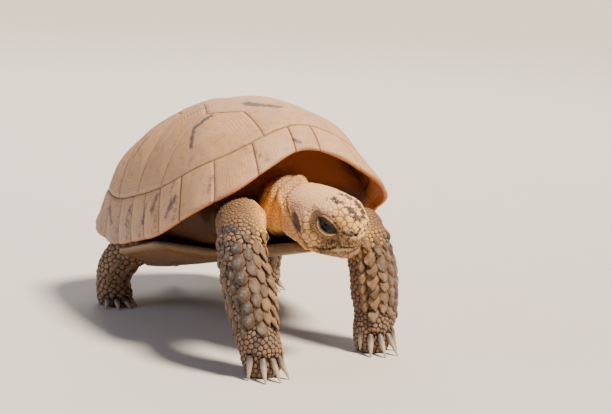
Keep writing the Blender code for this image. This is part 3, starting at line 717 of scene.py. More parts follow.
@dataclass(frozen=True)
class Dome:
    """The carapace's form: a superellipse in plan, with a rounded dome over it."""

    front: float = 49.0
    rear: float = 54.0
    side: float = 37.8
    height: float = 54.0
    squareness: float = 2.8
    apex_back: float = 8.4
    rim_angles: tuple = (0, 32, 62, 90, 118, 148, 180)
    rim_heights: tuple = (31.5, 18.2, 9.8, 8.4, 9.1, 17.5, 14.0)
    rim_flares: tuple = (0.7, 5.6, 0.7, 0.0, 0.7, 3.5, 2.8)
    dome_squareness: tuple = (2.05, 2.05, 1.95, 1.9, 1.9, 1.85, 1.85)
    flare_start: float = 0.72
    scallop: float = 0.5
    marginal_step: float = 15.0
    nuchal_half: float = 5.0
    tail_half: float = 10.0

    def point(self, tau: Array, angle: Array) -> Array:
        """Surface points: tau 0 at the top and 1 at the rim, angle in degrees from the front.

        Args:
            tau: 0 at the top, 1 at the rim.
            angle: degrees from the front, rising towards the left.

        Returns:
            Points in the shell's axes.
        """
        tau, angle = np.broadcast_arrays(np.asarray(tau, float), np.asarray(angle, float))
        wrapped = (angle + 180) % 360 - 180
        a, side = np.abs(wrapped), np.where(wrapped < 0, -1.0, 1.0)
        turn = np.radians(a)
        reach = np.where(a < 90, self.front, self.rear)
        along, across = np.abs(np.cos(turn)) / reach, np.abs(np.sin(turn)) / self.side
        radius = (along**self.squareness + across**self.squareness) ** (-1 / self.squareness)
        rim = curve_through(self.rim_angles, self.rim_heights, a)
        power = 2 / curve_through(self.rim_angles, self.dome_squareness, a)
        flare = curve_through(self.rim_angles, self.rim_flares, a)
        flare = flare * np.clip((tau - self.flare_start) / (1 - self.flare_start), 0, 1) ** 2
        out = np.sin(tau * math.pi / 2) ** power
        up = np.clip(np.cos(tau * math.pi / 2), 0, 1) ** power
        across = side * np.sin(turn) * (radius * out + flare)
        along = -np.cos(turn) * (radius * out + flare) + self.apex_back * (1 - out)
        return np.stack([across, along, rim + (self.height - rim) * up], axis=-1)

    def normal(self, tau: Array, angle: Array) -> Array:
        """Outward directions of the surface.

        Args:
            tau: 0 at the top, 1 at the rim.
            angle: degrees from the front.

        Returns:
            Directions of length 1.
        """
        tau, angle = np.broadcast_arrays(np.asarray(tau, float), np.asarray(angle, float))
        here = np.maximum(tau, 0.05)
        down = self.point(here, angle) - self.point(here - 0.004, angle)
        around = self.point(here, angle + 1) - self.point(here, angle - 1)
        made = unit(np.cross(around, down))
        outward = np.sum(made * (self.point(here, angle) - np.array((0, 0, 10))), axis=-1, keepdims=True)
        return np.where(outward < 0, -made, made)

    def over(self, spots: Array, lift: Array) -> Array:
        """Points over places on the unit disc, moved out by lift; the front is at -1 on the second axis.

        Args:
            spots: places on the disc.
            lift: millimetres, for each place.

        Returns:
            Points in the shell's axes.
        """
        tau = np.minimum(np.linalg.norm(spots, axis=-1), 1.0)
        angle = np.degrees(np.arctan2(spots[..., 0], -spots[..., 1]))
        return self.point(tau, angle) + np.asarray(lift)[..., None] * self.normal(tau, angle)

    def sunk(self, taus: Array, angles: Array, depths: Array) -> Array:
        """Grid of points under the surface: a tau and a depth for each row, an angle for each column."""
        return np.array([self.point(tau, angles) - depth * self.normal(tau, angles)
                         for tau, depth in zip(taus, depths)])

    def rim_bulge(self, angle: Array) -> Array:
        """How far each rim plate stands out past its seams.

        Args:
            angle: degrees from the front.

        Returns:
            Millimetres.
        """
        a = np.abs((angle + 180) % 360 - 180)
        phase = (a - self.nuchal_half) / self.marginal_step % 1.0
        inner = (a > self.nuchal_half) & (a < 180 - self.tail_half)
        return np.where(inner, self.scallop * np.sin(math.pi * phase), self.scallop / 2)


def disc_spot(angle: float, tau: float) -> Array:
    """Place on the unit disc at an angle from the front."""
    return np.array((tau * math.sin(math.radians(angle)), -tau * math.cos(math.radians(angle))))


@dataclass(frozen=True)
class ScutePlan:
    """How the dome's disc is divided: 5 plates down the middle, 4 each side, and the rim."""

    ring: float = 0.77
    seams: tuple = (-0.47, -0.15, 0.17, 0.49)
    seam_half_widths: tuple = (0.155, 0.16, 0.16, 0.13)
    corner_half_widths: tuple = (0.25, 0.27, 0.24)
    front_angle: float = 15.0
    rear_angle: float = 160.0
    costal_seams: tuple = (65.0, 90.0, 115.0)
    spacing: float = 0.012
    waviness: float = 0.006

    def edge(self, start: Array, end: Array) -> Array:
        """A slightly wavy seam between two corners, the same from both sides, without its end.

        Args:
            start: first corner on the disc.
            end: last corner.

        Returns:
            Points on the disc.
        """
        count = max(int(np.linalg.norm(np.subtract(end, start)) / self.spacing), 2)
        share = np.arange(count)[:, None] / count
        line = np.asarray(start) + np.subtract(end, start) * share
        flat = np.column_stack([line * 9.0, np.zeros(count)])
        wave = np.column_stack([noise_at(flat, 1.0, 3.0), noise_at(flat, 1.0, 31.0)])
        return line + wave * self.waviness * 4 * share * (1 - share)

    def arc(self, first: float, last: float) -> Array:
        """The seam along the rim plates between two angles, without its end.

        Args:
            first: angle of its start.
            last: angle of its end.

        Returns:
            Points on the disc.
        """
        count = max(int(abs(last - first) * math.pi / 180 * self.ring / self.spacing), 2)
        angles = first + (last - first) * np.arange(count) / count
        return np.array([disc_spot(a, self.ring) for a in angles])

    def side_corners(self, index: int, side: int) -> list[Array]:
        """Corners down one side of a middle plate, front to rear.

        Args:
            index: which of the five middle plates.
            side: 1 for left, -1 for right.

        Returns:
            Places on the disc.
        """
        fronts = [disc_spot(self.front_angle * side, self.ring)]
        fronts += [np.array((w * side, q)) for w, q in zip(self.seam_half_widths, self.seams)]
        fronts.append(disc_spot(self.rear_angle * side, self.ring))
        corners = [fronts[index]]
        if 1 <= index <= 3:
            middle = (self.seams[index - 1] + self.seams[index]) / 2
            corners.append(np.array((self.corner_half_widths[index - 1] * side, middle)))
        corners.append(fronts[index + 1])
        return corners

    def chain(self, corners: Sequence[Array]) -> list[Array]:
        """Seams through several corners, without the last one."""
        return [self.edge(a, b) for a, b in zip(corners[:-1], corners[1:])]

    def vertebral(self, index: int) -> Array:
        """Outline of one of the five middle plates.

        Args:
            index: its number from the front, from 0.

        Returns:
            Points on the disc.
        """
        left, right = self.side_corners(index, 1), self.side_corners(index, -1)
        rear = self.edge(left[-1], right[-1])
        if index == 4:
            rear = self.arc(self.rear_angle, 360 - self.rear_angle)
        front = self.edge(right[0], left[0])
        if index == 0:
            front = self.arc(-self.front_angle, self.front_angle)
        return np.concatenate([*self.chain(left), rear, *self.chain(right[::-1]), front])

    def costal(self, index: int, side: int) -> Array:
        """Outline of one of the four side plates.

        Args:
            index: its number from the front, from 0.
            side: 1 for left, -1 for right.

        Returns:
            Points on the disc.
        """
        angles = (self.front_angle, *self.costal_seams, self.rear_angle)
        first, last = angles[index] * side, angles[index + 1] * side
        parts = [self.arc(first, last)]
        if index < 3:
            corner = self.side_corners(index + 1, side)[1]
            parts += [self.edge(disc_spot(last, self.ring), corner)]
            parts += [self.edge(corner, self.side_corners(index + 1, side)[0])]
        else:
            parts += self.chain(self.side_corners(4, side)[::-1])
        if index == 0:
            parts += self.chain(self.side_corners(0, side)[::-1])
        else:
            upper = self.side_corners(index, side)
            parts += [self.edge(upper[2], upper[1]), self.edge(upper[1], disc_spot(first, self.ring))]
        return np.concatenate(parts)


@dataclass(frozen=True)
class Blotch:
    """A dark stroke in the horn between two places on the disc, with its half width and strength."""

    start: tuple
    end: tuple
    width: float
    strength: float


class Plate(Enum):
    """Kinds of plate, by where they sit."""

    VERTEBRAL = "vertebral"
    COSTAL = "costal"
    MARGINAL = "marginal"


@dataclass
class Carapace:
    """The upper shell: 13 large plates, 24 rim plates that wrap round the edge, and the bone under them."""

    frame: Frame
    dome: Dome = field(default_factory=Dome)
    plan: ScutePlan = field(default_factory=ScutePlan)
    thickness: float = 0.8
    bevel: float = 0.42
    relief: float = 0.45
    areola_relief: float = 1.05
    rim_relief: float = 0.73
    ring_depth: float = 0.05
    ring_spacing: float = 1.15
    lump_height: float = 0.13
    pore_height: float = 0.035
    point_spacing: float = 0.55
    wall: float = 2.2
    lip_radius: float = 0.5
    rim_core: float = 0.5
    rim_end: float = 0.985
    rim_back: float = 0.885
    lip_wall: float = 1.0
    back_wall: float = 1.9
    seam_depth: float = 0.2
    edge_limit: float = 3.0
    blotches: tuple = (
        Blotch((-0.26, -0.36), (-0.35, -0.36), 1.6, 1.0), Blotch((-0.35, -0.35), (-0.45, -0.45), 1.2, 0.9),
        Blotch((-0.20, -0.22), (-0.29, -0.19), 1.8, 0.5), Blotch((-0.10, -0.41), (-0.02, -0.56), 2.0, 1.0),
        Blotch((-0.50, -0.69), (-0.56, -0.75), 1.2, 0.55), Blotch((-0.55, -0.57), (-0.59, -0.60), 1.1, 0.5),
        Blotch((-0.70, -0.52), (-0.79, -0.50), 1.6, 1.0), Blotch((-0.64, -0.46), (-0.69, -0.47), 1.2, 0.6),
        Blotch((-0.75, -0.31), (-0.82, -0.29), 1.6, 0.85), Blotch((-0.81, -0.19), (-0.90, -0.14), 1.5, 0.75),
        Blotch((-0.82, 0.10), (-0.89, 0.15), 1.5, 0.75), Blotch((-0.69, 0.46), (-0.79, 0.41), 1.7, 0.85),
        Blotch((-0.30, -0.72), (-0.27, -0.89), 2.4, 0.42), Blotch((-0.07, -0.90), (-0.04, -0.95), 0.9, 1.0),
        Blotch((0.28, -0.38), (0.38, -0.30), 1.5, 0.8), Blotch((0.42, 0.02), (0.52, 0.08), 1.5, 0.7),
        Blotch((0.72, -0.42), (0.80, -0.38), 1.5, 0.75), Blotch((0.80, 0.0), (0.88, 0.04), 1.5, 0.75),
        Blotch((0.70, 0.42), (0.78, 0.46), 1.5, 0.7), Blotch((-0.12, 0.02), (-0.05, 0.14), 1.6, 0.7),
        Blotch((0.04, 0.36), (0.10, 0.46), 1.5, 0.6), Blotch((-0.42, 0.16), (-0.50, 0.26), 1.4, 0.6),
    )

    def marks(self, points: Array) -> Array:
        """Cover of dark horn at points near the dome.

        Args:
            points: places in the shell's axes.

        Returns:
            Cover from 0 to 1.
        """
        cover = np.zeros(len(points))
        for blotch in self.blotches:
            start, end = self.dome.over(np.array((blotch.start, blotch.end)), np.zeros(2))
            line = end - start
            share = np.clip((points - start) @ line / np.dot(line, line), 0, 1)
            away = np.linalg.norm(points - start - share[:, None] * line, axis=1)
            cover = np.maximum(cover, blotch.strength * bell(away, blotch.width))
        return cover

    def height(self, edge: Array, share: Array, points: Array) -> Array:
        """Relief of a plate: a bevelled seam, low growth ridges and a raised old centre.

        Args:
            edge: distance to the nearest seam in millimetres.
            share: 0 at the seam, 1 at the centre.
            points: places on the dome, for the unevenness.

        Returns:
            Height above the dome in millimetres.
        """
        rise = self.relief * (1 - np.exp(-edge / self.bevel))
        crown = (self.areola_relief - self.relief) * smooth(share, 0.05, 0.95)
        worn = 0.5 + 0.5 * noise_at(points, 7.0, 5.0)
        swing = np.sin(edge * 2 * math.pi / self.ring_spacing)
        ridges = self.ring_depth * swing * smooth(edge, 0.4, 1.2) * worn
        lumps = self.lump_height * noise_at(points, 6.0, 11.0, 2)
        lumps += self.pore_height * noise_at(points, 1.3, 17.0, 2)
        made = rise + crown + (ridges + lumps) * smooth(edge, 0.0, 1.0)
        return np.minimum(made, self.areola_relief + 0.04) - 0.03

    def large_plate(self, name: str, outline: Array, areola: Array, tone: float) -> Piece:
        """One vertebral or costal plate, from its centre out to its seam and back underneath.

        Args:
            name: the piece's name.
            outline: its seam on the unit disc.
            areola: its centre on the unit disc.
            tone: its shade, from 0 to 1.

        Returns:
            The plate.
        """
        count = len(outline)
        base = self.dome.over(outline, np.zeros(count))
        reach = np.linalg.norm(base - self.dome.over(areola[None], np.zeros(1)), axis=1).max()
        steps = max(int(reach / self.point_spacing), 6)
        shares = np.concatenate([[0.0], np.linspace(0.0, 0.97, steps)[1:] ** 1.08, [0.985]])
        shares = np.insert(shares, 1, shares[1] * np.array((0.25, 0.6)))[::-1]
        flat = (outline[None] + (areola - outline)[None] * shares[:, None, None]).reshape(-1, 2)
        ground = self.dome.over(flat, np.zeros(len(flat)))
        edge = nearest(ground, base)[1]
        share = np.repeat(shares, count)
        under_shares = (0.0, 0.35, 0.7)
        under = [self.dome.over(outline + (areola - outline) * s, np.full(count, -self.thickness))
                 for s in under_shares]
        hub, low_hub = (self.dome.over(areola[None], np.array([height]))
                        for height in (self.areola_relief, -self.thickness))
        top = self.dome.over(flat, self.height(edge, share, ground))
        points = np.concatenate([hub, top, *under, low_hub])
        hidden = np.zeros(len(points) - len(top) - 1)
        shown = {
            "edge": (edge.max(), edge), "areola": (1.0, smooth(share, 0.72, 0.95)),
            "mark": (0.0, self.marks(ground)), "grey": (0.0, self.painted_grey_shade(ground)),
        }
        fields = {key: np.concatenate([[middle], values, hidden]) for key, (middle, values) in shown.items()}
        fields |= {"tone": np.full(len(points), tone), "under": np.zeros(len(points))}
        faces = closed_rings(len(shares) + len(under_shares), count)
        piece = mesh_piece(name, self.frame.from_shell(points), faces, fields)
        face_outwards(piece)
        return piece

    def painted_grey_shade(self, points: Array) -> Array:
        """Share of grey painted shade, most low down towards the rear."""
        low = smooth(points[:, 2], 40.0, 12.0) * smooth(points[:, 1], -30.0, 25.0)
        return 0.75 * low * (0.7 + 0.3 * noise_at(points, 8.0, 41.0))

    def rim_plate(self, name: str, first: float, last: float, tone: float, wedge: float) -> Piece:
        """One rim plate, wrapped round the edge to the shell's underside.

        Args:
            name: the piece's name.
            first: angle of its first seam.
            last: angle of its other seam.
            tone: its shade, from 0 to 1.
            wedge: strength of the dark wedge at its foremost seam.

        Returns:
            The plate.
        """
        columns = max(int(abs(last - first) * 1.7), 10)
        angles = np.linspace(first, last, columns + 1)
        top = self.plan.ring + (self.rim_end - self.plan.ring) * np.linspace(0, 1, 22) ** 0.9
        turns = np.radians(np.linspace(0, 180, 9))[1:-1]
        back = np.linspace(self.rim_end, self.rim_back, 9)
        rows, inner, edge_rows = [], [], []
        width = np.linalg.norm(self.dome.point(1.0, first) - self.dome.point(1.0, last))
        sideways = np.minimum(angles - first, last - angles) / (last - first) * width
        bulge = self.dome.rim_bulge(angles)
        around = np.radians(angles)
        outward = np.stack([np.sin(around), -np.cos(around), np.full(len(angles), -0.25)], axis=1)
        start = self.dome.point(self.plan.ring, angles)
        for tau in top:
            ground = self.dome.point(tau, angles)
            edge = np.minimum(sideways, np.linalg.norm(ground - start, axis=1))
            share = np.clip(edge / (width * 0.5), 0, 1)
            lift = np.minimum(self.height(edge, share * 0.6, ground), self.rim_relief)
            swell = (bulge * smooth(tau, 0.88, 1.0))[:, None] * outward
            normal = self.dome.normal(tau, angles)
            rows.append(ground + lift[:, None] * normal + swell)
            inner.append(ground - self.rim_core * normal + swell)
            edge_rows.append(edge)
        edge_rows += [np.minimum(sideways, self.edge_limit)] * (len(turns) + len(back))
        normal = self.dome.normal(self.rim_end, angles)
        lip = self.dome.point(self.rim_end, angles)
        down = unit(lip - self.dome.point(0.96, angles))
        lift = self.height(sideways, np.clip(sideways / width, 0, 1) * 0.6, ground)
        lift = np.minimum(lift, self.rim_relief)
        radius = (lift + 2 * self.lip_radius) / 2
        hub = lip + (lift - radius)[:, None] * normal + bulge[:, None] * outward
        for turn in turns:
            rows.append(hub + radius[:, None] * (math.cos(turn) * normal + math.sin(turn) * down * 0.9))
            inner.append(hub + 0.12 * (math.cos(turn) * normal + math.sin(turn) * down))
        groove = self.seam_depth * np.exp(-sideways / 0.4)
        for tau in back:
            deep = self.lip_wall + (self.back_wall - self.lip_wall) * smooth(tau, self.rim_end, 0.9)
            ground = self.dome.point(tau, angles)
            normal = self.dome.normal(tau, angles)
            swell = (bulge * smooth(tau, 0.88, 1.0))[:, None] * outward
            rows.append(ground - (deep - groove)[:, None] * normal + swell)
            inner.append(ground - (deep - self.rim_core) * normal + swell)
        points, faces = plate_between(np.array(rows), np.array(inner))
        edge = np.concatenate(edge_rows)
        turned = np.concatenate([np.zeros(len(top)), np.linspace(0.2, 1, len(turns)), np.ones(len(back))])
        drop = np.concatenate([np.linspace(0, 1, len(top)), np.ones(len(turns) + len(back))])
        under, drop = np.repeat(turned, columns + 1), np.repeat(drop, columns + 1)
        ahead = np.tile((angles - first) / (last - first), len(rows))
        if abs(first) > abs(last):
            ahead = 1 - ahead
        mark = wedge * bell(ahead - 0.08 - 0.14 * drop, 0.15) * smooth(drop, 0.12, 0.5)
        flat = points[:len(edge)]
        mark = np.maximum(mark, self.marks(flat)) * (1 - under)
        fields = {"edge": edge, "areola": edge * 0, "mark": mark, "grey": self.painted_grey_shade(flat), "under": under}
        fields = {key: np.concatenate([values, values]) for key, values in fields.items()}
        fields["tone"] = np.full(len(points), tone)
        piece = mesh_piece(name, self.frame.from_shell(points), faces, fields)
        face_outwards(piece)
        return piece

    def wall_piece(self) -> Piece:
        """The bone under the plates, with the shell's hollow inside.

        Returns:
            The bone.
        """
        angles = np.arange(0, 360, 4.0)
        taus = np.array((0.03, 0.1, 0.2, 0.3, 0.4, 0.5, 0.6, 0.7, 0.77, 0.83, 0.88, 0.92, 0.955))
        inside = curve_through((0.0, 0.86, 0.9, 1.0), (self.wall, self.wall, 1.35, 1.2), taus)
        outside = np.full(len(taus), self.thickness + 0.05)
        outer, inner = (self.dome.sunk(taus, angles, depths) for depths in (outside, inside))
        rings = np.concatenate([outer, inner[::-1]])
        points = np.concatenate([outer[:1].mean(axis=1), rings.reshape(-1, 3), inner[:1].mean(axis=1)])
        faces = closed_rings(len(rings), len(angles))
        piece = mesh_piece("carapace_bone", self.frame.from_shell(points), faces)
        face_outwards(piece)
        return piece

    def build(self, horn: Finish, bone: Finish) -> list[Piece]:
        """Makes and dresses every plate.

        Args:
            horn: finish of the plates.
            bone: finish of the wall under them.

        Returns:
            The pieces.
        """
        draw = np.random.default_rng(7)
        middles = (-0.75, *self.plan.seams, 0.73)
        made = []
        for index in range(5):
            areola = np.array((0.0, (middles[index] + middles[index + 1]) / 2))
            name = f"{Plate.VERTEBRAL.value}_{index + 1}"
            made.append(self.large_plate(name, self.plan.vertebral(index), areola, draw.random()))
        for side, word in ((1, "left"), (-1, "right")):
            for index in range(4):
                outline = self.plan.costal(index, side)
                areola = outline.mean(axis=0) * (0.9, 1.0)
                name = f"{Plate.COSTAL.value}_{word}_{index + 1}"
                made.append(self.large_plate(name, outline, areola, draw.random()))
        spans = [("nuchal", -self.dome.nuchal_half, self.dome.nuchal_half)]
        for side, word in ((1, "left"), (-1, "right")):
            for index in range(11):
                near = self.dome.nuchal_half + index * self.dome.marginal_step
                ends = sorted((side * near, side * (near + self.dome.marginal_step)))
                spans.append((f"{Plate.MARGINAL.value}_{word}_{index + 1}", *ends))
        spans.append(("supracaudal", 180 - self.dome.tail_half, 180 + self.dome.tail_half))
        for name, first, last in spans:
            wedge = draw.uniform(0.2, 0.55) * smooth(max(abs(first), abs(last)), 40.0, 75.0)
            made.append(self.rim_plate(name, first, last, draw.random(), wedge))
        for piece in made:
            clothe(piece, horn, "shell_horn", "carapace")
        made.append(clothe(self.wall_piece(), bone, "shell_horn", "carapace"))
        return made


# ---------------------------------------------------------------- belly plate


@dataclass
class Plastron:
    """The belly plate and the bridges that rise from it to the carapace, with its six pairs of scutes."""

    frame: Frame
    dome: Dome = field(default_factory=Dome)
    keys: tuple = (-46.5, -42, -36, -28, -16, 0, 22, 31, 39, 44.5, 48)
    half_widths: tuple = (6.0, 9.5, 13.0, 18.0, 22.0, 23.0, 20.5, 20.0, 17.5, 12.0, 6.5)
    bridge_front: tuple = (-23.0, -11.0)
    bridge_rear: tuple = (13.5, 24.0)
    wall: float = 2.6
    gap: float = 0.3
    anal_notch: float = 3.5
    gular_notch: float = 1.2
    seam_depth: float = 0.28
    wear_depth: float = 0.06
    least_rise: float = 1.0
    rounding: float = 1.2
    seams: tuple = ((-39.0, -0.25), (-26.0, -0.35), (-19.0, 0.15), (17.0, 0.2), (33.0, -0.3))
    rows: int = 130
    columns: int = 90

    def section(self, y: float) -> tuple[Array, Array]:
        """Belly line and top line across the plate at one place along it, left to right.

        Args:
            y: place along the shell in millimetres.

        Returns:
            The two lines, points in the shell's axes.
        """
        lobe = float(curve_through(self.keys, self.half_widths, y))
        angles = np.linspace(20, 160, 281)
        rim = self.dome.point(1.0, angles)
        closest = int(np.argmin(np.abs(rim[:, 1] - y)))
        bridge = float(smooth(y, *self.bridge_front) * (1 - smooth(y, *self.bridge_rear)))
        half = lobe + (rim[closest, 0] - lobe) * bridge
        rise = self.least_rise + (rim[closest, 2] - self.gap - self.wall - self.least_rise) * bridge
        share = np.linspace(-1, 1, self.columns)
        low = rise * np.maximum(0, (np.abs(share) - 0.5) / 0.5) ** 1.5
        edge = np.clip((1 - np.abs(share)) * half / self.rounding, 0, 1)
        round_off = 0.5 * self.wall * (1 - np.sqrt(1 - (1 - edge) ** 2)) * 0.8
        bottom = np.stack([share * half, np.full(self.columns, y), low + round_off], axis=1)
        top = np.stack([share * half, np.full(self.columns, y), low + self.wall - round_off], axis=1)
        return bottom, top

    def build(self, horn: Finish) -> Piece:
        """Makes and dresses the plate.

        Args:
            horn: its finish.

        Returns:
            The plate.
        """
        stations = np.linspace(self.keys[0], self.keys[-1], self.rows)
        bottoms, tops = [], []
        for y in stations:
            bottom, top = self.section(y)
            half = bottom[:, 0].max()
            inward = (1 - np.abs(bottom[:, 0]) / half) ** 2
            pull = self.gular_notch * inward * smooth(y, -38, self.keys[0])
            pull = pull - self.anal_notch * inward * smooth(y, 40, self.keys[-1])
            bottom[:, 1] += pull
            top[:, 1] += pull
            bottoms.append(bottom)
            tops.append(top)
        outer, inner = np.array(bottoms), np.array(tops)
        flat = outer.reshape(-1, 3)
        aside = np.abs(flat[:, 0])
        edge = np.abs(flat[:, 0] - 0.5 * noise_at(flat * (0, 1, 0), 12.0, 3.0))
        wander = 0.4 * noise_at(flat, 9.0)
        for place, lean in self.seams:
            edge = np.minimum(edge, np.abs(flat[:, 1] - place - lean * aside - wander))
        groove = self.seam_depth * np.exp(-edge / 0.4) + self.wear_depth * (1 + noise_at(flat, 5.0, 9.0))
        flat = flat + groove[:, None] * np.array((0, 0, 1.0))
        points, faces = plate_between(flat.reshape(outer.shape), inner)
        mark = bell(np.abs(flat[:, 0]) - 13, 7.0) * smooth(noise_at(flat, 15.0, 2.0), -0.2, 0.3)
        fields = {"edge": np.concatenate([edge, edge]), "mark": np.concatenate([mark, mark])}
        piece = mesh_piece("plastron_scutes", self.frame.from_shell(points), faces, fields)
        face_outwards(piece)
        return clothe(piece, horn, "belly_horn", "plastron")


# ---------------------------------------------------------------- hide


FLESH = ("trunk", "neck", "head", "lower_jaw", "tail") + tuple(
    f"{part}_{side}"
    for side in ("right", "left")
    for part in ("upper_arm", "forearm", "fore_foot", "thigh", "shank", "hind_foot")
)


@dataclass(frozen=True)
class Limb:
    """The line through a limb's middle, from inside the shell to the sole, in the design's axes."""

    path: tuple

    def sampled(self, shift: Array, count: int = 121) -> Array:
        """Points along the path with their radius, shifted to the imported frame.

        Args:
            shift: where the design's origin lies.
            count: how many points.

        Returns:
            Rows of x, y and z.
        """
        rows = np.asarray(self.path, float)
        ends = np.vstack([2 * rows[0] - rows[1], rows, 2 * rows[-1] - rows[-2]])
        lengths = np.linalg.norm(np.diff(rows[:, :3], axis=0), axis=1)
        marks = np.concatenate([[0], np.cumsum(lengths)]) / lengths.sum()
        made = []
        for u in np.linspace(0, 1, count):
            i = min(int(np.searchsorted(marks, u, side="right")) - 1, len(rows) - 2)
            t = (u - marks[i]) / (marks[i + 1] - marks[i])
            a, b, c, d = ends[i : i + 4]
            bend = (2 * a - 5 * b + 4 * c - d) * t * t + (3 * b - a - 3 * c + d) * t**3
            made.append(0.5 * (2 * b + (c - a) * t + bend))
        made = np.array(made)
        made[:, :3] += shift
        return made

    def frames(self, shift: Array, count: int = 121) -> tuple[Array, Array, Array, Array]:
        """Centres, directions along, directions towards +X and directions forward of the path.

        Args:
            shift: where the design's origin lies.
            count: how many places along the path.

        Returns:
            Four arrays of rows.
        """
        line = self.sampled(shift, count)[:, :3]
        reach = max(int(0.16 * count), 1)
        index = np.arange(count)
        along = unit(line[np.minimum(index + reach, count - 1)] - line[np.maximum(index - reach, 0)])
        side = unit(np.array((1.0, 0, 0)) - along[:, :1] * along)
        return line, along, side, np.cross(along, side)

    def coordinates(self, points: Array, shift: Array) -> tuple[Array, Array, Array]:
        """Share along the limb, angle round it in degrees and distance from its middle.

        Args:
            points: world points.
            shift: where the design's origin lies.

        Returns:
            Three values for each point.
        """
        line, _, side, other = self.frames(shift)
        index = nearest(points, line)[0]
        away = points - line[index]
        across = np.sum(away * side[index], axis=1)
        ahead = np.sum(away * other[index], axis=1)
        share = index / (len(line) - 1)
        return share, np.degrees(np.arctan2(ahead, across)) % 360, np.hypot(across, ahead)


RIGHT_FORELEG = Limb(((-17.0, -27.0, 39.5), (-23.5, -42.0, 42.6), (-27.2, -50.6, 33.5), (-26.5, -55.3, 22.4),
                      (-25.9, -58.6, 11.9)))
LEFT_FORELEG = Limb(((17.0, -26.0, 38.5), (22.3, -37.6, 37.2), (23.6, -43.2, 28.0), (23.8, -45.6, 18.6),
                     (23.5, -47.4, 10.6)))
RIGHT_HIND_LEG = Limb(((-15.0, 27.0, 23.5), (-24.5, 30.5, 21.0), (-29.3, 34.0, 15.0), (-30.6, 35.6, 9.5)))
LEFT_HIND_LEG = Limb(((15.0, 27.0, 23.5), (24.5, 31.5, 21.0), (29.3, 36.0, 15.0), (30.6, 38.6, 9.5)))
TAIL = Limb(((0.0, 36.0, 22.0), (0.6, 45.0, 17.6), (2.2, 53.0, 11.0), (3.8, 56.6, 6.4)))


@dataclass(frozen=True)
class Spot:
    """A place on the head by forward, left (either side if mirrored) and up, with a reach and a strength."""

    forward: float
    left: float
    up: float
    reach: float
    strength: float = 1.0
    mirrored: bool = True

    def cover(self, local: Array) -> Array:
        """How strongly the spot covers points in the head's axes.

        Args:
            local: points in the head's axes.

        Returns:
            Values up to the spot's strength.
        """
        side = np.abs(local[:, 1]) if self.mirrored else local[:, 1]
        away = np.stack([local[:, 0] - self.forward, side - self.left, local[:, 2] - self.up], axis=1)
        return self.strength * bell(np.linalg.norm(away, axis=1), self.reach)


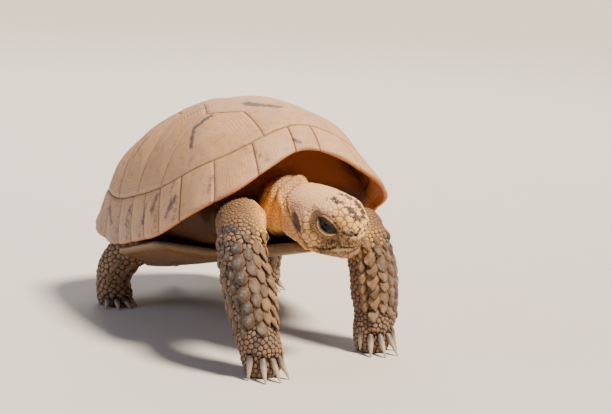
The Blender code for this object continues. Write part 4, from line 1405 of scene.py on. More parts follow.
@dataclass
class Face:
    """The head's features: eye slits with their lids, mouth, nostrils, ear drums and beak."""

    frame: Frame
    lid_radius: float = 4.0
    slit_half_length: float = 3.75
    slit_top: float = 1.0
    slit_bottom: float = 1.5
    slit_tilt: float = -24.0
    lower_spread: float = 0.3
    mouth_corner: float = 13.2
    mouth_forward: tuple = (11.0, 14.5, 16.5, 19.0, 21.5, 24.0, 27.0)
    mouth_height: tuple = (-0.25, -0.25, 0.25, 1.55, 2.45, 2.4, 2.5)
    sheath_forward: tuple = (12.0, 14.7, 16.4, 18.5, 20.3, 22.1, 24.0, 26.0)
    sheath_height: tuple = (0.2, 2.0, 3.7, 5.1, 6.1, 6.6, 5.9, 5.4)
    nostril: tuple = (24.5, 3.4, 7.5)
    drum: tuple = (6.2, 6.2)
    drum_size: tuple = (3.5, 1.45)
    drum_tilt: float = 128.0
    collar_height: tuple = (-4.0, -0.5, 1.4, 4.6, 7.4, 10.5, 14.0)
    collar_forward: tuple = (9.6, 8.0, 6.2, 2.5, -0.3, -3.3, -5.5)
    crease_height: tuple = (-4.0, -0.5, 3.5, 6.9, 9.0, 14.0)
    crease_forward: tuple = (11.2, 9.4, 6.6, 3.4, 1.4, -1.5)
    mouth_depth: float = 0.62
    lip_height: float = 0.16
    sheath_groove: float = 0.3
    sheath_height_over_skin: float = 0.1
    rib_height: float = 0.11
    chin_height: float = 0.22
    drum_depth: float = 0.45
    drum_border: float = 0.16
    nostril_depth: float = 1.15
    nostril_border: float = 0.18
    collar_rise: float = 0.85
    crease_depth: float = 0.55
    slit_radius: float = 3.05
    lid_margin: float = 0.12
    lid_groove: float = 0.27

    def eye_axes(self, side: int) -> tuple[Array, Array, Array, Array]:
        """Centre, outward, along-the-slit and upward directions of one eye, in the head's axes.

        Args:
            side: 1 for the left eye, -1 for the right.

        Returns:
            Four rows of forward, left and up.
        """
        forward, left, up = self.frame.eye_centre
        centre = np.array((forward, side * left, up))
        outward = unit(np.array((0.3, side * 1.0, 0.16)))
        tilt = math.radians(self.slit_tilt)
        along = np.array((math.cos(tilt), 0.0, math.sin(tilt)))
        along = unit(along - np.dot(along, outward) * outward)
        upward = np.cross(outward, along)
        return centre, outward, along, upward * np.sign(upward[2])

    def lid_distance(self, local: Array, side: int) -> tuple[Array, Array, Array, Array, Array]:
        """Where points lie round one eye.

        Args:
            local: points in the head's axes.
            side: 1 for the left eye, -1 for the right.

        Returns:
            Distance to the slit's border (negative in the slit), millimetres along the slit, millimetres
            above it, distance from the eye's centre and direction from it.
        """
        centre, outward, along, upward = self.eye_axes(side)
        away = local - centre
        distance = np.linalg.norm(away, axis=1)
        direction = away / np.maximum(distance, 1e-9)[:, None]
        angle = np.arccos(np.clip(direction @ outward, -1, 1))
        flat = unit(np.stack([direction @ along, direction @ upward], axis=1))
        a, b = flat[:, 0] * angle * self.lid_radius, flat[:, 1] * angle * self.lid_radius
        x = np.clip(np.abs(a) / self.slit_half_length, 0, 1)
        top = self.slit_top * (1 - x**2) ** 0.75
        bottom = self.slit_bottom * (1 - x**2.4) ** 0.8
        inside = np.maximum(b - top, -bottom - b)
        beyond = np.hypot(np.maximum(np.abs(a) - self.slit_half_length, 0), b)
        border = np.where(np.abs(a) < self.slit_half_length, inside * 0.9, beyond)
        spread = 1 - self.lower_spread * smooth(b, 0.3, -0.6) * (border > 0)
        return border * spread, a, b, distance, direction

    def mouth_line(self, forward: Array) -> Array:
        """Height of the mouth's slit at a place forward."""
        return curve_through(self.mouth_forward, self.mouth_height, np.clip(forward, 11.0, 27.0))

    def sheath_line(self, forward: Array) -> Array:
        """Height of the beak's upper border at a place forward."""
        return curve_through(self.sheath_forward, self.sheath_height, np.clip(forward, 12.0, 26.0))

    def collar(self, local: Array) -> tuple[Array, Array]:
        """How strongly points lie on the loose fold behind the cheeks, and in the crease before it.

        Args:
            local: points in the head's axes.

        Returns:
            Two values from 0 to 1 for each point.
        """
        side = np.abs(local[:, 1])
        lateral = smooth(side, 4.0, 6.5) * smooth(side, 12.5, 11.0) * smooth(local[:, 2], -5.0, -3.5)
        height = np.clip(local[:, 2], -4.0, 14.0)
        ridge = bell(local[:, 0] - curve_through(self.collar_height, self.collar_forward, height), 0.95)
        crease = bell(local[:, 0] - curve_through(self.crease_height, self.crease_forward, height), 0.6)
        return ridge * lateral, crease * lateral * smooth(local[:, 2], 11.5, 8.5)

    def drum_distance(self, local: Array) -> Array:
        """Distance from the ear drum's middle, where 1 is its border.

        Args:
            local: points in the head's axes.

        Returns:
            Distances as shares of the drum's size.
        """
        away = np.stack([local[:, 0] - self.drum[0], local[:, 2] - self.drum[1]], axis=1)
        turn = math.radians(self.drum_tilt)
        a = (away @ np.array((math.cos(turn), math.sin(turn)))) / self.drum_size[0]
        b = (away @ np.array((-math.sin(turn), math.cos(turn)))) / self.drum_size[1]
        return np.hypot(a, b)

    def nostril_distance(self, local: Array) -> Array:
        """Distance from the nearer nostril's middle in millimetres."""
        mirrored = np.stack([local[:, 0], np.abs(local[:, 1]), local[:, 2]], axis=1)
        return np.linalg.norm(mirrored - np.array(self.nostril), axis=1)

    def shape(self, points: Array) -> Array:
        """Moves points of the hide into lids, folds, mouth, nostrils and ear drums.

        Args:
            points: world points of the hide.

        Returns:
            The moved points.
        """
        local = self.frame.to_head(points)
        forward, side, up = local[:, 0], np.abs(local[:, 1]), local[:, 2]
        spine = np.stack([np.minimum(forward, 19.5), 0 * forward, 0 * forward + 6.5], axis=1)
        outward = unit(local - spine)
        push = np.zeros(len(local))
        line, sheath = self.mouth_line(forward), self.sheath_line(forward)
        mouth = smooth(forward, self.mouth_corner - 1.0, self.mouth_corner + 0.8)
        push -= self.mouth_depth * bell(up - line, 0.24) * mouth
        push += self.lip_height * bell(up - line - 0.7, 0.45) * mouth
        beak = smooth(forward, 14.0, 16.5)
        groove = self.sheath_groove * bell(up - sheath, 0.24)
        push -= groove * smooth(forward, 13.0, 14.5) * smooth(forward, 25.0, 23.5)
        push += self.sheath_height_over_skin * bell(up - sheath + 0.6, 0.4) * beak
        ribs = noise_at(local * np.array((1.0, 1.0, 0.22)), 0.75, 31.0, 2)
        ribs = self.rib_height * ribs * beak * smooth(up, sheath, sheath - 0.5)
        push += ribs * smooth(up, line - 2.2, line - 1.2)
        push += self.chin_height * bell(up - line + 0.95, 0.42) * bell(forward - 20.6, 2.4)
        drum, lateral = self.drum_distance(local), smooth(side, 6.0, 7.5)
        push -= self.drum_depth * smooth(drum, 1.15, 0.8) * lateral
        push += self.drum_border * bell(drum - 1.25, 0.18) * lateral
        hole = self.nostril_distance(local)
        push += self.nostril_border * bell(hole - 1.05, 0.38) - self.nostril_depth * bell(hole, 0.55)
        near_head = smooth(forward, -1.0, 2.0) * smooth(side, 13.0, 11.5)
        ridge, crease = self.collar(local)
        near_neck = smooth(forward, -7.5, -5.0) * smooth(side, 13.5, 12.0)
        push = push * near_head + (self.collar_rise * ridge - self.crease_depth * crease) * near_neck
        local = local + push[:, None] * outward
        for sign in (1, -1):
            border, a, b, distance, direction = self.lid_distance(local, sign)
            near = smooth(border, 2.6, 1.3) * (np.abs(distance - self.lid_radius) < 4.0)
            near = near * (direction[:, 1] * sign > 0)
            upper = smooth(b, -0.4, 0.4)
            target = self.lid_radius + self.lid_margin * bell(border - 0.38, 0.32)
            target -= self.lid_groove * bell(border - 0.92, 0.15)
            target += (0.18 + 0.2 * upper) * bell(border - 1.42, 0.36) - 0.16 * bell(border - 1.95, 0.16)
            target += 0.1 * bell(border - 2.3, 0.3)
            slit = smooth(border, 0.06, -0.16)
            target = target * (1 - slit) + self.slit_radius * slit
            corner = bell(np.abs(a) - self.slit_half_length - 0.3, 0.5) * bell(b, 0.28)
            target -= 0.35 * corner * (1 - slit)
            centre = self.eye_axes(sign)[0]
            local = local * (1 - near)[:, None] + (centre + direction * target[:, None]) * near[:, None]
        return self.frame.from_head(local)

    def lid_fields(self, local: Array) -> tuple[Array, Array, Array]:
        """Dark margins with painted shade in the slits, pale rims and painted shade round both eyes.

        Args:
            local: points in the head's axes.

        Returns:
            Three covers from 0 to 1.
        """
        dark, pale, brown = np.zeros((3, len(local)))
        for sign in (1, -1):
            border, a, b, distance, direction = self.lid_distance(local, sign)
            facing = (direction[:, 1] * sign > 0) * (distance < 6.0)
            upper, lower = smooth(b, -0.5, 0.1), smooth(b, 0.1, -0.5)
            own = smooth(border, 0.9, 0.55) * upper
            own = np.maximum(own, bell(np.abs(a) - self.slit_half_length - 0.1, 0.75) * bell(b, 0.45))
            own = np.maximum(own, bell(border - 0.86, 0.22) * 0.95)
            own = np.maximum(own, bell(border - 1.95, 0.2) * 0.5)
            # the lids' dark margins and groove lines, partly their own colour and partly painted shade;
            # painted shade inside the slit
            dark = np.maximum(dark, np.maximum(own, smooth(border, 0.0, -0.15)) * facing)
            pale = np.maximum(pale, bell(border - 0.36, 0.27) * lower * facing)
            # painted shade in the eye socket round the lids
            brown = np.maximum(brown, bell(border - 1.1, 1.0) * facing * (0.75 + 0.25 * upper))
        return dark, pale, brown

    def fields(self, points: Array) -> Fields:
        """Values that the finishes of hide and scales read near the head.

        Args:
            points: world points.

        Returns:
            Values from 0 to 1, by name.
        """
        local = self.frame.to_head(points)
        forward, side, up = local[:, 0], np.abs(local[:, 1]), local[:, 2]
        on_head = smooth(forward, -1.5, 1.0) * (side < 12) * (up > -6)
        on_head = on_head * smooth(np.linalg.norm(local - np.array((12.0, 0, 6)), axis=1), 22, 18)
        lid_dark, lid_pale, socket = self.lid_fields(local)
        ragged = self.drum_distance(local) + 0.1 * noise_at(local, 1.2, 3.0)
        drum = smooth(ragged, 1.2, 0.8) * smooth(side, 6.0, 7.5)
        patch = Spot(4.4, 8.3, 10.6, 1.9, 0.6).cover(local)
        line, sheath = self.mouth_line(forward), self.sheath_line(forward)
        beak = smooth(forward, 13.8, 15.5) * smooth(up, sheath + 0.1, sheath - 0.4)
        beak = beak * smooth(up, line - 2.4, line - 1.8)
        mouth = bell(up - line, 0.34) * smooth(forward, self.mouth_corner - 1, self.mouth_corner + 1)
        seam = bell(up - sheath, 0.26) * smooth(forward, 13.0, 14.5) * smooth(forward, 25.5, 24.0)
        lip = bell(up - line + 0.95, 0.42) * bell(forward - 20.6, 2.3)
        bridge = bell(up - 7.3, 0.65) * smooth(forward, 20.0, 20.8) * smooth(forward, 25.2, 24.4)
        blotch = np.maximum.reduce([spot.cover(local) for spot in HEAD_BLOTCHES] + [0.85 * bridge])
        gold = np.maximum.reduce([spot.cover(local) for spot in HEAD_GOLD])
        ridge, crease = self.collar(local)
        collar = ridge * smooth(forward, -7.5, -5.0)
        hole = bell(self.nostril_distance(local), 0.8)
        snout = np.maximum(smooth(forward, 15.8, 18.6), smooth(up, 9.5, 7.0) * smooth(forward, 5.0, 8.0))
        pale = np.maximum.reduce([0.8 * lid_pale * on_head, lip * on_head, collar**3 * 0.4])
        return {
            "head": on_head,
            "snout": on_head * snout,
            "bare": np.clip(1.5 * collar, 0, 1),
            # painted shade under the jaw
            "jaw": on_head * smooth(forward, 12.0, 14.5) * smooth(up, line - 0.3, line - 0.9),
            # dark: the lids' margins, with painted shade in the mouth, beak seam and nostrils
            "dark": np.clip(np.maximum.reduce([lid_dark, mouth * 0.85, seam * 0.6, hole]), 0, 1) * on_head,
            "cream": np.clip(pale, 0, 1),
            "slate": np.clip(np.maximum(drum, patch), 0, 1) * on_head,
            "beak": np.clip(beak, 0, 1) * on_head,
            "blotch": blotch * on_head,
            "gold": np.clip(gold, 0, 1) * on_head,
            # socket: painted shade round the eyes and in the neck crease
            "socket": np.clip(np.maximum(socket * on_head, 0.9 * crease), 0, 1),
        }


HEAD_BLOTCHES = (
    Spot(14.0, 2.0, 15.7, 1.5, 0.95), Spot(15.6, 2.8, 15.4, 1.4, 0.95), Spot(17.0, 2.2, 15.4, 1.3, 0.9),
    Spot(20.9, 2.0, 14.1, 1.6, 1.0), Spot(19.6, 2.6, 14.8, 1.4, 0.85), Spot(22.8, 2.1, 12.6, 1.6, 1.0),
    Spot(23.6, 1.1, 11.8, 1.3, 1.0), Spot(22.0, 2.9, 12.9, 1.2, 0.8), Spot(24.6, 2.2, 8.9, 1.2, 0.9),
    Spot(23.2, 4.4, 8.2, 1.2, 0.8), Spot(12.6, 3.4, 15.2, 1.4, 0.5), Spot(18.4, 6.7, 9.9, 0.8, 0.8),
    Spot(24.6, 3.9, 6.0, 1.0, 0.5), Spot(17.4, 6.4, 12.0, 0.9, 0.6),
)
HEAD_GOLD = (
    Spot(19.3, 6.2, 11.8, 1.6, 1.0), Spot(21.9, 4.6, 11.4, 1.9, 1.0), Spot(23.8, 3.8, 10.1, 1.7, 1.0),
    Spot(24.4, 1.2, 10.2, 1.6, 0.9), Spot(18.3, 4.6, 14.4, 1.9, 0.9), Spot(13.0, 8.8, 4.2, 1.9, 0.85),
    Spot(21.0, 0.0, 13.8, 1.8, 0.6), Spot(10.6, 9.5, 6.3, 1.4, 0.6), Spot(13.1, 7.9, 1.0, 1.3, 0.4),
)


@dataclass
class Hide:
    """One skin over all the flesh, without a seam, set in by the depth of the scales that lie on it."""

    frame: Frame
    face: Face
    grow: float = 0.27
    voxel: float = 0.52
    scale_depth: float = 0.3
    rounds: int = 14
    wrinkle_height: float = 0.1
    neck_fold: float = 4.4
    neck_fold_height: float = 0.95
    arm_wrinkle_height: float = 0.35
    arm_folds: tuple = (0.30, 0.52)
    sole: float = 2.5

    def gathered(self, nodes: dict) -> Piece:
        """The flesh solids as one object, each grown until the gaps between them close.

        Args:
            nodes: the frame's solids by name.

        Returns:
            The object.
        """
        shape = bmesh.new()
        for name in FLESH:
            part = welded(nodes[name])
            part.normal_update()
            moves = [(v, v.normal * self.grow * MM) for v in part.verts]
            for vertex, move in moves:
                vertex.co += move
            mesh = stored(part, "part")
            shape.from_mesh(mesh)
            bpy.data.meshes.remove(mesh)
        forward, left, up = self.frame.eye_centre
        for side in (1, -1):
            centre = self.frame.from_head(np.array((forward, side * left, up)))[0] * MM
            ball = Matrix.Translation(Vector(centre))
            bmesh.ops.create_icosphere(shape, subdivisions=3, radius=self.face.lid_radius * MM, matrix=ball)
        return linked("hide", stored(shape, "hide"))

    def relaxed(self, shape: bmesh.types.BMesh, rounds: int) -> None:
        """Evens out the skin's bumps and steps.

        Args:
            shape: the skin.
            rounds: how often each point moves halfway to its neighbours' middle.
        """
        axes = {"use_axis_x": True, "use_axis_y": True, "use_axis_z": True}
        for _ in range(rounds):
            bmesh.ops.smooth_vert(shape, verts=shape.verts[:], factor=0.5, **axes)

    def refined(self, shape: bmesh.types.BMesh) -> None:
        """Halves the skin's faces on the head, and again round the eyes, nostrils and mouth.

        Args:
            shape: the skin.
        """
        for level in range(2):
            coords = np.array([v.co for v in shape.verts]) / MM
            local = self.frame.to_head(coords)
            forward, left, up = local.T
            wanted = (forward > 0.5) & (np.abs(left) < 12) & (up > -5.5) & (up < 19)
            if level == 1:
                close = self.face.nostril_distance(local) < 1.8
                for sign in (1, -1):
                    border, _, _, distance, direction = self.face.lid_distance(local, sign)
                    close |= (border < 2.0) & (direction[:, 1] * sign > 0) & (distance < 6.0)
                line, sheath = self.face.mouth_line(forward), self.face.sheath_line(forward)
                close |= (up > line - 1.6) & (up < sheath + 0.7) & (forward > 12.5)
                wanted &= close
            shape.verts.index_update()
            edges = [e for e in shape.edges if wanted[e.verts[0].index] and wanted[e.verts[1].index]]
            bmesh.ops.subdivide_edges(shape, edges=edges, cuts=1, use_grid_fill=True)
            if level == 0:
                self.relaxed(shape, 2)

    def folded(self, points: Array) -> Array:
        """Heights of folds and wrinkles of the loose skin, in millimetres.

        Args:
            points: world points of the hide.

        Returns:
            Millimetres outwards.
        """
        local = self.frame.to_head(points)
        forward, left, up = local.T
        height = self.wrinkle_height * noise_at(points, 3.0, 2.0, 2)
        neck = smooth(forward, 1.0, -1.5) * smooth(forward, -18.0, -8.0) * (np.abs(left) < 16)
        wander = forward + 0.9 * noise_at(points, 5.0, 8.0) + 0.08 * up
        folds = np.abs(np.sin(wander * math.pi / self.neck_fold)) ** 0.8
        height += neck * (self.neck_fold_height * folds - 0.5)
        start, end = self.arm_folds
        for limb in (RIGHT_FORELEG, LEFT_FORELEG):
            share, angle, reach = limb.coordinates(points, self.frame.shift())
            arm = smooth(share, start - 0.1, start) * smooth(share, end, end - 0.06) * (reach < 12)
            wander = share * 62 + 0.02 * angle + 0.8 * noise_at(points, 5.0, 4.0)
            height += arm * self.arm_wrinkle_height * np.sin(wander)
            turned = angle if limb is RIGHT_FORELEG else (180.0 - angle) % 360
            under_shields = 0.4 + 0.35 * bell(turned - 131.0, 24.0) + 0.75 * bell(turned - 50.0, 26.0)
            height -= under_shields * smooth(share, 0.42, 0.56) * smooth(share, 1.0, 0.94) * (reach < 12)
        return height

    def build(self, nodes: dict, finish: Finish) -> Piece:
        """Makes and dresses the skin.

        Args:
            nodes: the frame's solids by name.
            finish: its finish.

        Returns:
            The skin.
        """
        piece = self.gathered(nodes)
        modified(piece, "REMESH", mode="VOXEL", voxel_size=self.voxel * MM, adaptivity=0.0)
        shape = bmesh.new()
        shape.from_mesh(piece.data)
        self.relaxed(shape, self.rounds)
        self.refined(shape)
        shape.normal_update()
        points = np.array([v.co for v in shape.verts]) / MM
        normals = np.array([v.normal for v in shape.verts])
        points -= (self.grow + self.scale_depth) * normals
        points += self.folded(points)[:, None] * normals
        points = self.face.shape(points)
        low = points[:, 2] < self.sole
        height = points[low, 2]
        sunk = height - (self.scale_depth + 0.1) * (1 - np.maximum(height, 0) / self.sole)
        points[low, 2] = np.maximum(sunk, 0.02)
        for vertex, place in zip(shape.verts, points * MM):
            vertex.co = place
        bmesh.ops.recalc_face_normals(shape, faces=shape.faces[:])
        shape.to_mesh(piece.data)
        shape.free()
        piece.data.shade_smooth()
        add_fields(piece, skin_fields(self.frame, self.face, points))
        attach(piece, BODY)
        return clothe(piece, finish, "skin", *FLESH)


def skin_fields(frame: Frame, face: Face, points: Array) -> Fields:
    """Markings, painted shade and painted light that skin and scales share, by place on the animal.

    Args:
        frame: places of the head and the shell.
        face: the head's features.
        points: world points in millimetres.

    Returns:
        Named values from 0 to 1 for each point.
    """
    made = face.fields(points)
    shift = frame.shift()
    forward, left, up = frame.to_head(points).T
    aside = np.abs(left)
    # warm: golden skin of the neck, partly its own colour and partly painted light
    warm = 0.9 * smooth(forward, 2.0, -2.0) * smooth(forward, -26.0, -14.0) * smooth(up, 15.0, 6.0)
    warm = warm * smooth(aside, 15.0, 11.5)
    leg, patch, upper = np.zeros((3, len(points)))
    soft = smooth(forward, 1.5, -1.0) * (forward > -26) * (aside < 14)
    for limb in (RIGHT_FORELEG, LEFT_FORELEG):
        share, angle, reach = limb.coordinates(points, shift)
        near = reach < 11
        turned = angle if limb is RIGHT_FORELEG else (180.0 - angle) % 360
        inner = bell((turned - 28.0 + 180.0) % 360 - 180.0, 42.0)
        # upper: the outer upper arm, which takes the painted shadow of the shell
        upper = np.maximum(upper, smooth(share, 0.5, 0.36) * near * (1 - inner))
        leg = np.maximum(leg, (0.85 + 0.15 * smooth(share, 0.42, 0.56)) * smooth(share, 0.1, 0.2) * near)
        # golden inner arm, partly its own colour and partly painted light
        warm = np.maximum(warm, smooth(share, 0.6, 0.42) * smooth(share, 0.1, 0.2) * near * inner)
        spots = noise_at(np.stack([share * 70, turned * 0.12, 0 * share], axis=1), 3.2, 9.0, 2)
        outer = bell(turned - 145.0, 62.0) * smooth(share, 0.34, 0.44)
        patch = np.maximum(patch, smooth(spots, -0.1, 0.35) * outer * near)
        soft = np.maximum(soft, 0.75 * smooth(share, 0.5, 0.38) * (share > 0.1) * near)
    for limb in (RIGHT_HIND_LEG, LEFT_HIND_LEG):
        share, angle, reach = limb.coordinates(points, shift)
        leg = np.maximum(leg, (0.4 + 0.6 * smooth(share, 0.4, 0.6)) * (reach < 10))
    off_head = 1 - made["head"]
    made["warm"] = np.clip(warm, 0, 1)
    # the jaw's painted shade also lies on the outer upper arm, as the shell's shadow
    made["jaw"] = np.maximum(made["jaw"], 0.9 * upper * off_head)
    made |= {"soft": soft * off_head, "leg": leg * off_head, "patch": patch * off_head}
    # deep: painted shade of the hollow inside the shell
    hollow = frame.to_shell(points)
    inside = smooth(np.abs(hollow[:, 1] + 1.0), 40.0, 30.0) * smooth(points[:, 2], 12, 20)
    made["deep"] = inside * (1 - made["leg"])
    # painted glow high up under the shell's front rim
    made["painted_glow"] = smooth(points[:, 2], 44, 54) * smooth(hollow[:, 1], -8.0, -20.0)
    return made


# ---------------------------------------------------------------- coat of small scales


@dataclass(frozen=True)
class Region:
    """One part of the skin whose scales make up a piece.

    Attributes:
        name: the region's name.
        radius: a scale's middle to its edge, in millimetres.
        height: how far a scale stands off the skin.
        lean: how much further its outer edge stands off.
        gap: bare skin between two scales.
    """

    name: str
    radius: float
    height: float
    lean: float = 0.0
    gap: float = 0.1


REGIONS = (
    Region("neck", 0.42, 0.13, 0.1, 0.05), Region("tail", 0.8, 0.3, 0.3),
    Region("foreleg_right", 0.72, 0.36, 0.5), Region("foreleg_left", 0.72, 0.36, 0.5),
    Region("hind_leg_right", 0.78, 0.36, 0.5), Region("hind_leg_left", 0.78, 0.36, 0.5),
    Region("head_right", 0.5, 0.12, 0.0, 0.09), Region("head_left", 0.5, 0.12, 0.0, 0.09),
)
LIMBS = {
    "tail": (TAIL, 0.05, 8.5), "foreleg_right": (RIGHT_FORELEG, 0.16, 12.0),
    "foreleg_left": (LEFT_FORELEG, 0.16, 12.0), "hind_leg_right": (RIGHT_HIND_LEG, 0.2, 10.5),
    "hind_leg_left": (LEFT_HIND_LEG, 0.2, 10.5),
}


@dataclass(frozen=True)
class HeadPlate:
    """A large scale of the face by forward, outward and up, with its radius; it lies on both sides."""

    forward: float
    outward: float
    up: float
    radius: float


HEAD_PLATES = (
    HeadPlate(24.4, 1.2, 9.8, 0.8), HeadPlate(23.2, 1.4, 12.0, 0.9), HeadPlate(21.2, 1.4, 13.8, 0.95),
    HeadPlate(19.0, 1.5, 14.9, 0.95), HeadPlate(16.7, 1.4, 15.6, 0.9), HeadPlate(14.4, 1.6, 15.8, 0.8),
    HeadPlate(23.8, 3.8, 10.1, 0.85), HeadPlate(21.9, 4.3, 12.0, 0.95), HeadPlate(19.8, 4.1, 14.2, 0.9),
    HeadPlate(17.4, 3.9, 15.0, 0.85), HeadPlate(15.2, 4.2, 15.2, 0.8), HeadPlate(19.4, 6.3, 11.6, 0.9),
    HeadPlate(17.6, 6.3, 13.3, 0.85), HeadPlate(15.6, 6.4, 13.7, 0.85), HeadPlate(13.5, 6.2, 13.8, 0.85),
    HeadPlate(22.0, 5.8, 9.3, 0.8), HeadPlate(13.0, 8.8, 4.2, 1.3), HeadPlate(10.6, 9.5, 6.3, 1.15),
    HeadPlate(12.9, 8.0, 1.1, 1.05), HeadPlate(9.9, 9.4, 8.6, 0.95), HeadPlate(10.2, 9.3, 3.0, 1.1),
    HeadPlate(8.6, 9.3, 4.6, 0.85), HeadPlate(8.4, 9.2, 10.3, 0.85), HeadPlate(10.6, 8.4, 0.4, 0.95),
)


@dataclass
class SkinMap:
    """The finished skin as points, a search tree and directions."""

    frame: Frame
    face: Face
    hide: Piece
    tree: BVHTree = field(init=False)
    corners: Array = field(init=False)

    def __post_init__(self) -> None:
        """Reads the skin's points and faces."""
        mesh = self.hide.data
        mesh.calc_loop_triangles()
        points = np.empty(len(mesh.vertices) * 3, np.float32)
        mesh.vertices.foreach_get("co", points)
        triangles = np.empty(len(mesh.loop_triangles) * 3, np.int32)
        mesh.loop_triangles.foreach_get("vertices", triangles)
        points = points.reshape(-1, 3).astype(float) / MM
        triangles = triangles.reshape(-1, 3)
        self.corners = points[triangles]
        self.tree = BVHTree.FromPolygons(points.tolist(), triangles.tolist())

    def settled(self, points: Array) -> tuple[Array, Array]:
        """The nearest places on the skin and the skin's directions there.

        Args:
            points: world points.

        Returns:
            Two arrays like points.
        """
        found = [self.tree.find_nearest(Vector(p)) for p in points.reshape(-1, 3)]
        places = np.array([f[0] for f in found]).reshape(points.shape)
        return places, np.array([f[1] for f in found]).reshape(points.shape)

    def labels(self, points: Array) -> Array:
        """The region's name at each point.

        Args:
            points: world points.

        Returns:
            Names of regions, or trunk for bare skin.
        """
        shift = self.frame.shift()
        local = self.frame.to_head(points)
        made = np.full(len(points), "trunk", dtype="U16")
        middle = np.abs(local[:, 1] - 0.04 * local[:, 0])
        made[(local[:, 0] > -22) & (middle < 12.5) & (np.abs(local[:, 2] - 5.5) < 13.5)] = "neck"
        for name, (limb, start, reach) in LIMBS.items():
            share, _, away = limb.coordinates(points, shift)
            made[(share > start) & (away < reach)] = name
        head = (local[:, 0] > 0.6) & (np.abs(local[:, 1]) < 11.5) & (local[:, 2] > -5.8) & (local[:, 2] < 18)
        made[head & (local[:, 1] >= 0)] = "head_left"
        made[head & (local[:, 1] < 0)] = "head_right"
        return made

    def scattered(self, draw: Draw, per_square: float = 16.0) -> Array:
        """Random points all over the skin, this many on each square millimetre.

        Args:
            draw: the random numbers.
            per_square: how many.

        Returns:
            World points.
        """
        a, b, c = self.corners[:, 0], self.corners[:, 1], self.corners[:, 2]
        area = np.linalg.norm(np.cross(b - a, c - a), axis=1) / 2
        count = int(area.sum() * per_square)
        chosen = draw.choice(len(area), count, p=area / area.sum())
        u, v = draw.random((2, count))
        flip = u + v > 1
        u[flip], v[flip] = 1 - u[flip], 1 - v[flip]
        return a[chosen] + u[:, None] * (b - a)[chosen] + v[:, None] * (c - a)[chosen]

    def lie(self, name: str, points: Array) -> Array:
        """Which way the outer edges of the scales of a region point.

        Args:
            name: the region.
            points: its scales' places.

        Returns:
            Directions of length 1.
        """
        if name in LIMBS:
            line, along, _, _ = LIMBS[name][0].frames(self.frame.shift())
            return along[nearest(points, line)[0]]
        back = self.frame.from_head(np.array((-1.0, 0, 0))) - self.frame.from_head(np.zeros(3))
        return np.tile(unit(back), (len(points), 1))

    def unwrapped(self, name: str, places: Array) -> Array:
        """Places of a region on an unwrap of its own shape: round it and along it, from 0 to 1.

        Args:
            name: the region.
            places: its scales' places.

        Returns:
            Two coordinates for each place.
        """
        if name in LIMBS:
            along, turn, _ = LIMBS[name][0].coordinates(places, self.frame.shift())
        else:
            local = self.frame.to_head(places)
            span = np.ptp(local[:, 0])
            along = (local[:, 0] - local[:, 0].min()) / max(span, 1e-6)
            turn = np.degrees(np.arctan2(local[:, 1], local[:, 2] - 6.0)) % 360
        return 0.02 + 0.96 * np.stack([turn / 360, along], axis=1)


def bake_patches(piece: Piece, roots: Array, offsets: Array, half: float = 0.0015) -> None:
    """Gives each scale a small patch of the bake map at its root's place.

    Args:
        piece: the joined scales.
        roots: one place on the map for each scale.
        offsets: for each scale, its points' places round the root, within a unit circle.
        half: half of a patch's width on the map.
    """
    coords = (roots[:, None] + half * offsets).reshape(-1, 2)
    layer = piece.data.uv_layers.new(name="OFBake")
    corners = np.empty(len(piece.data.loops), np.int32)
    piece.data.loops.foreach_get("vertex_index", corners)
    layer.data.foreach_set("uv", coords[corners].astype(np.float32).ravel())


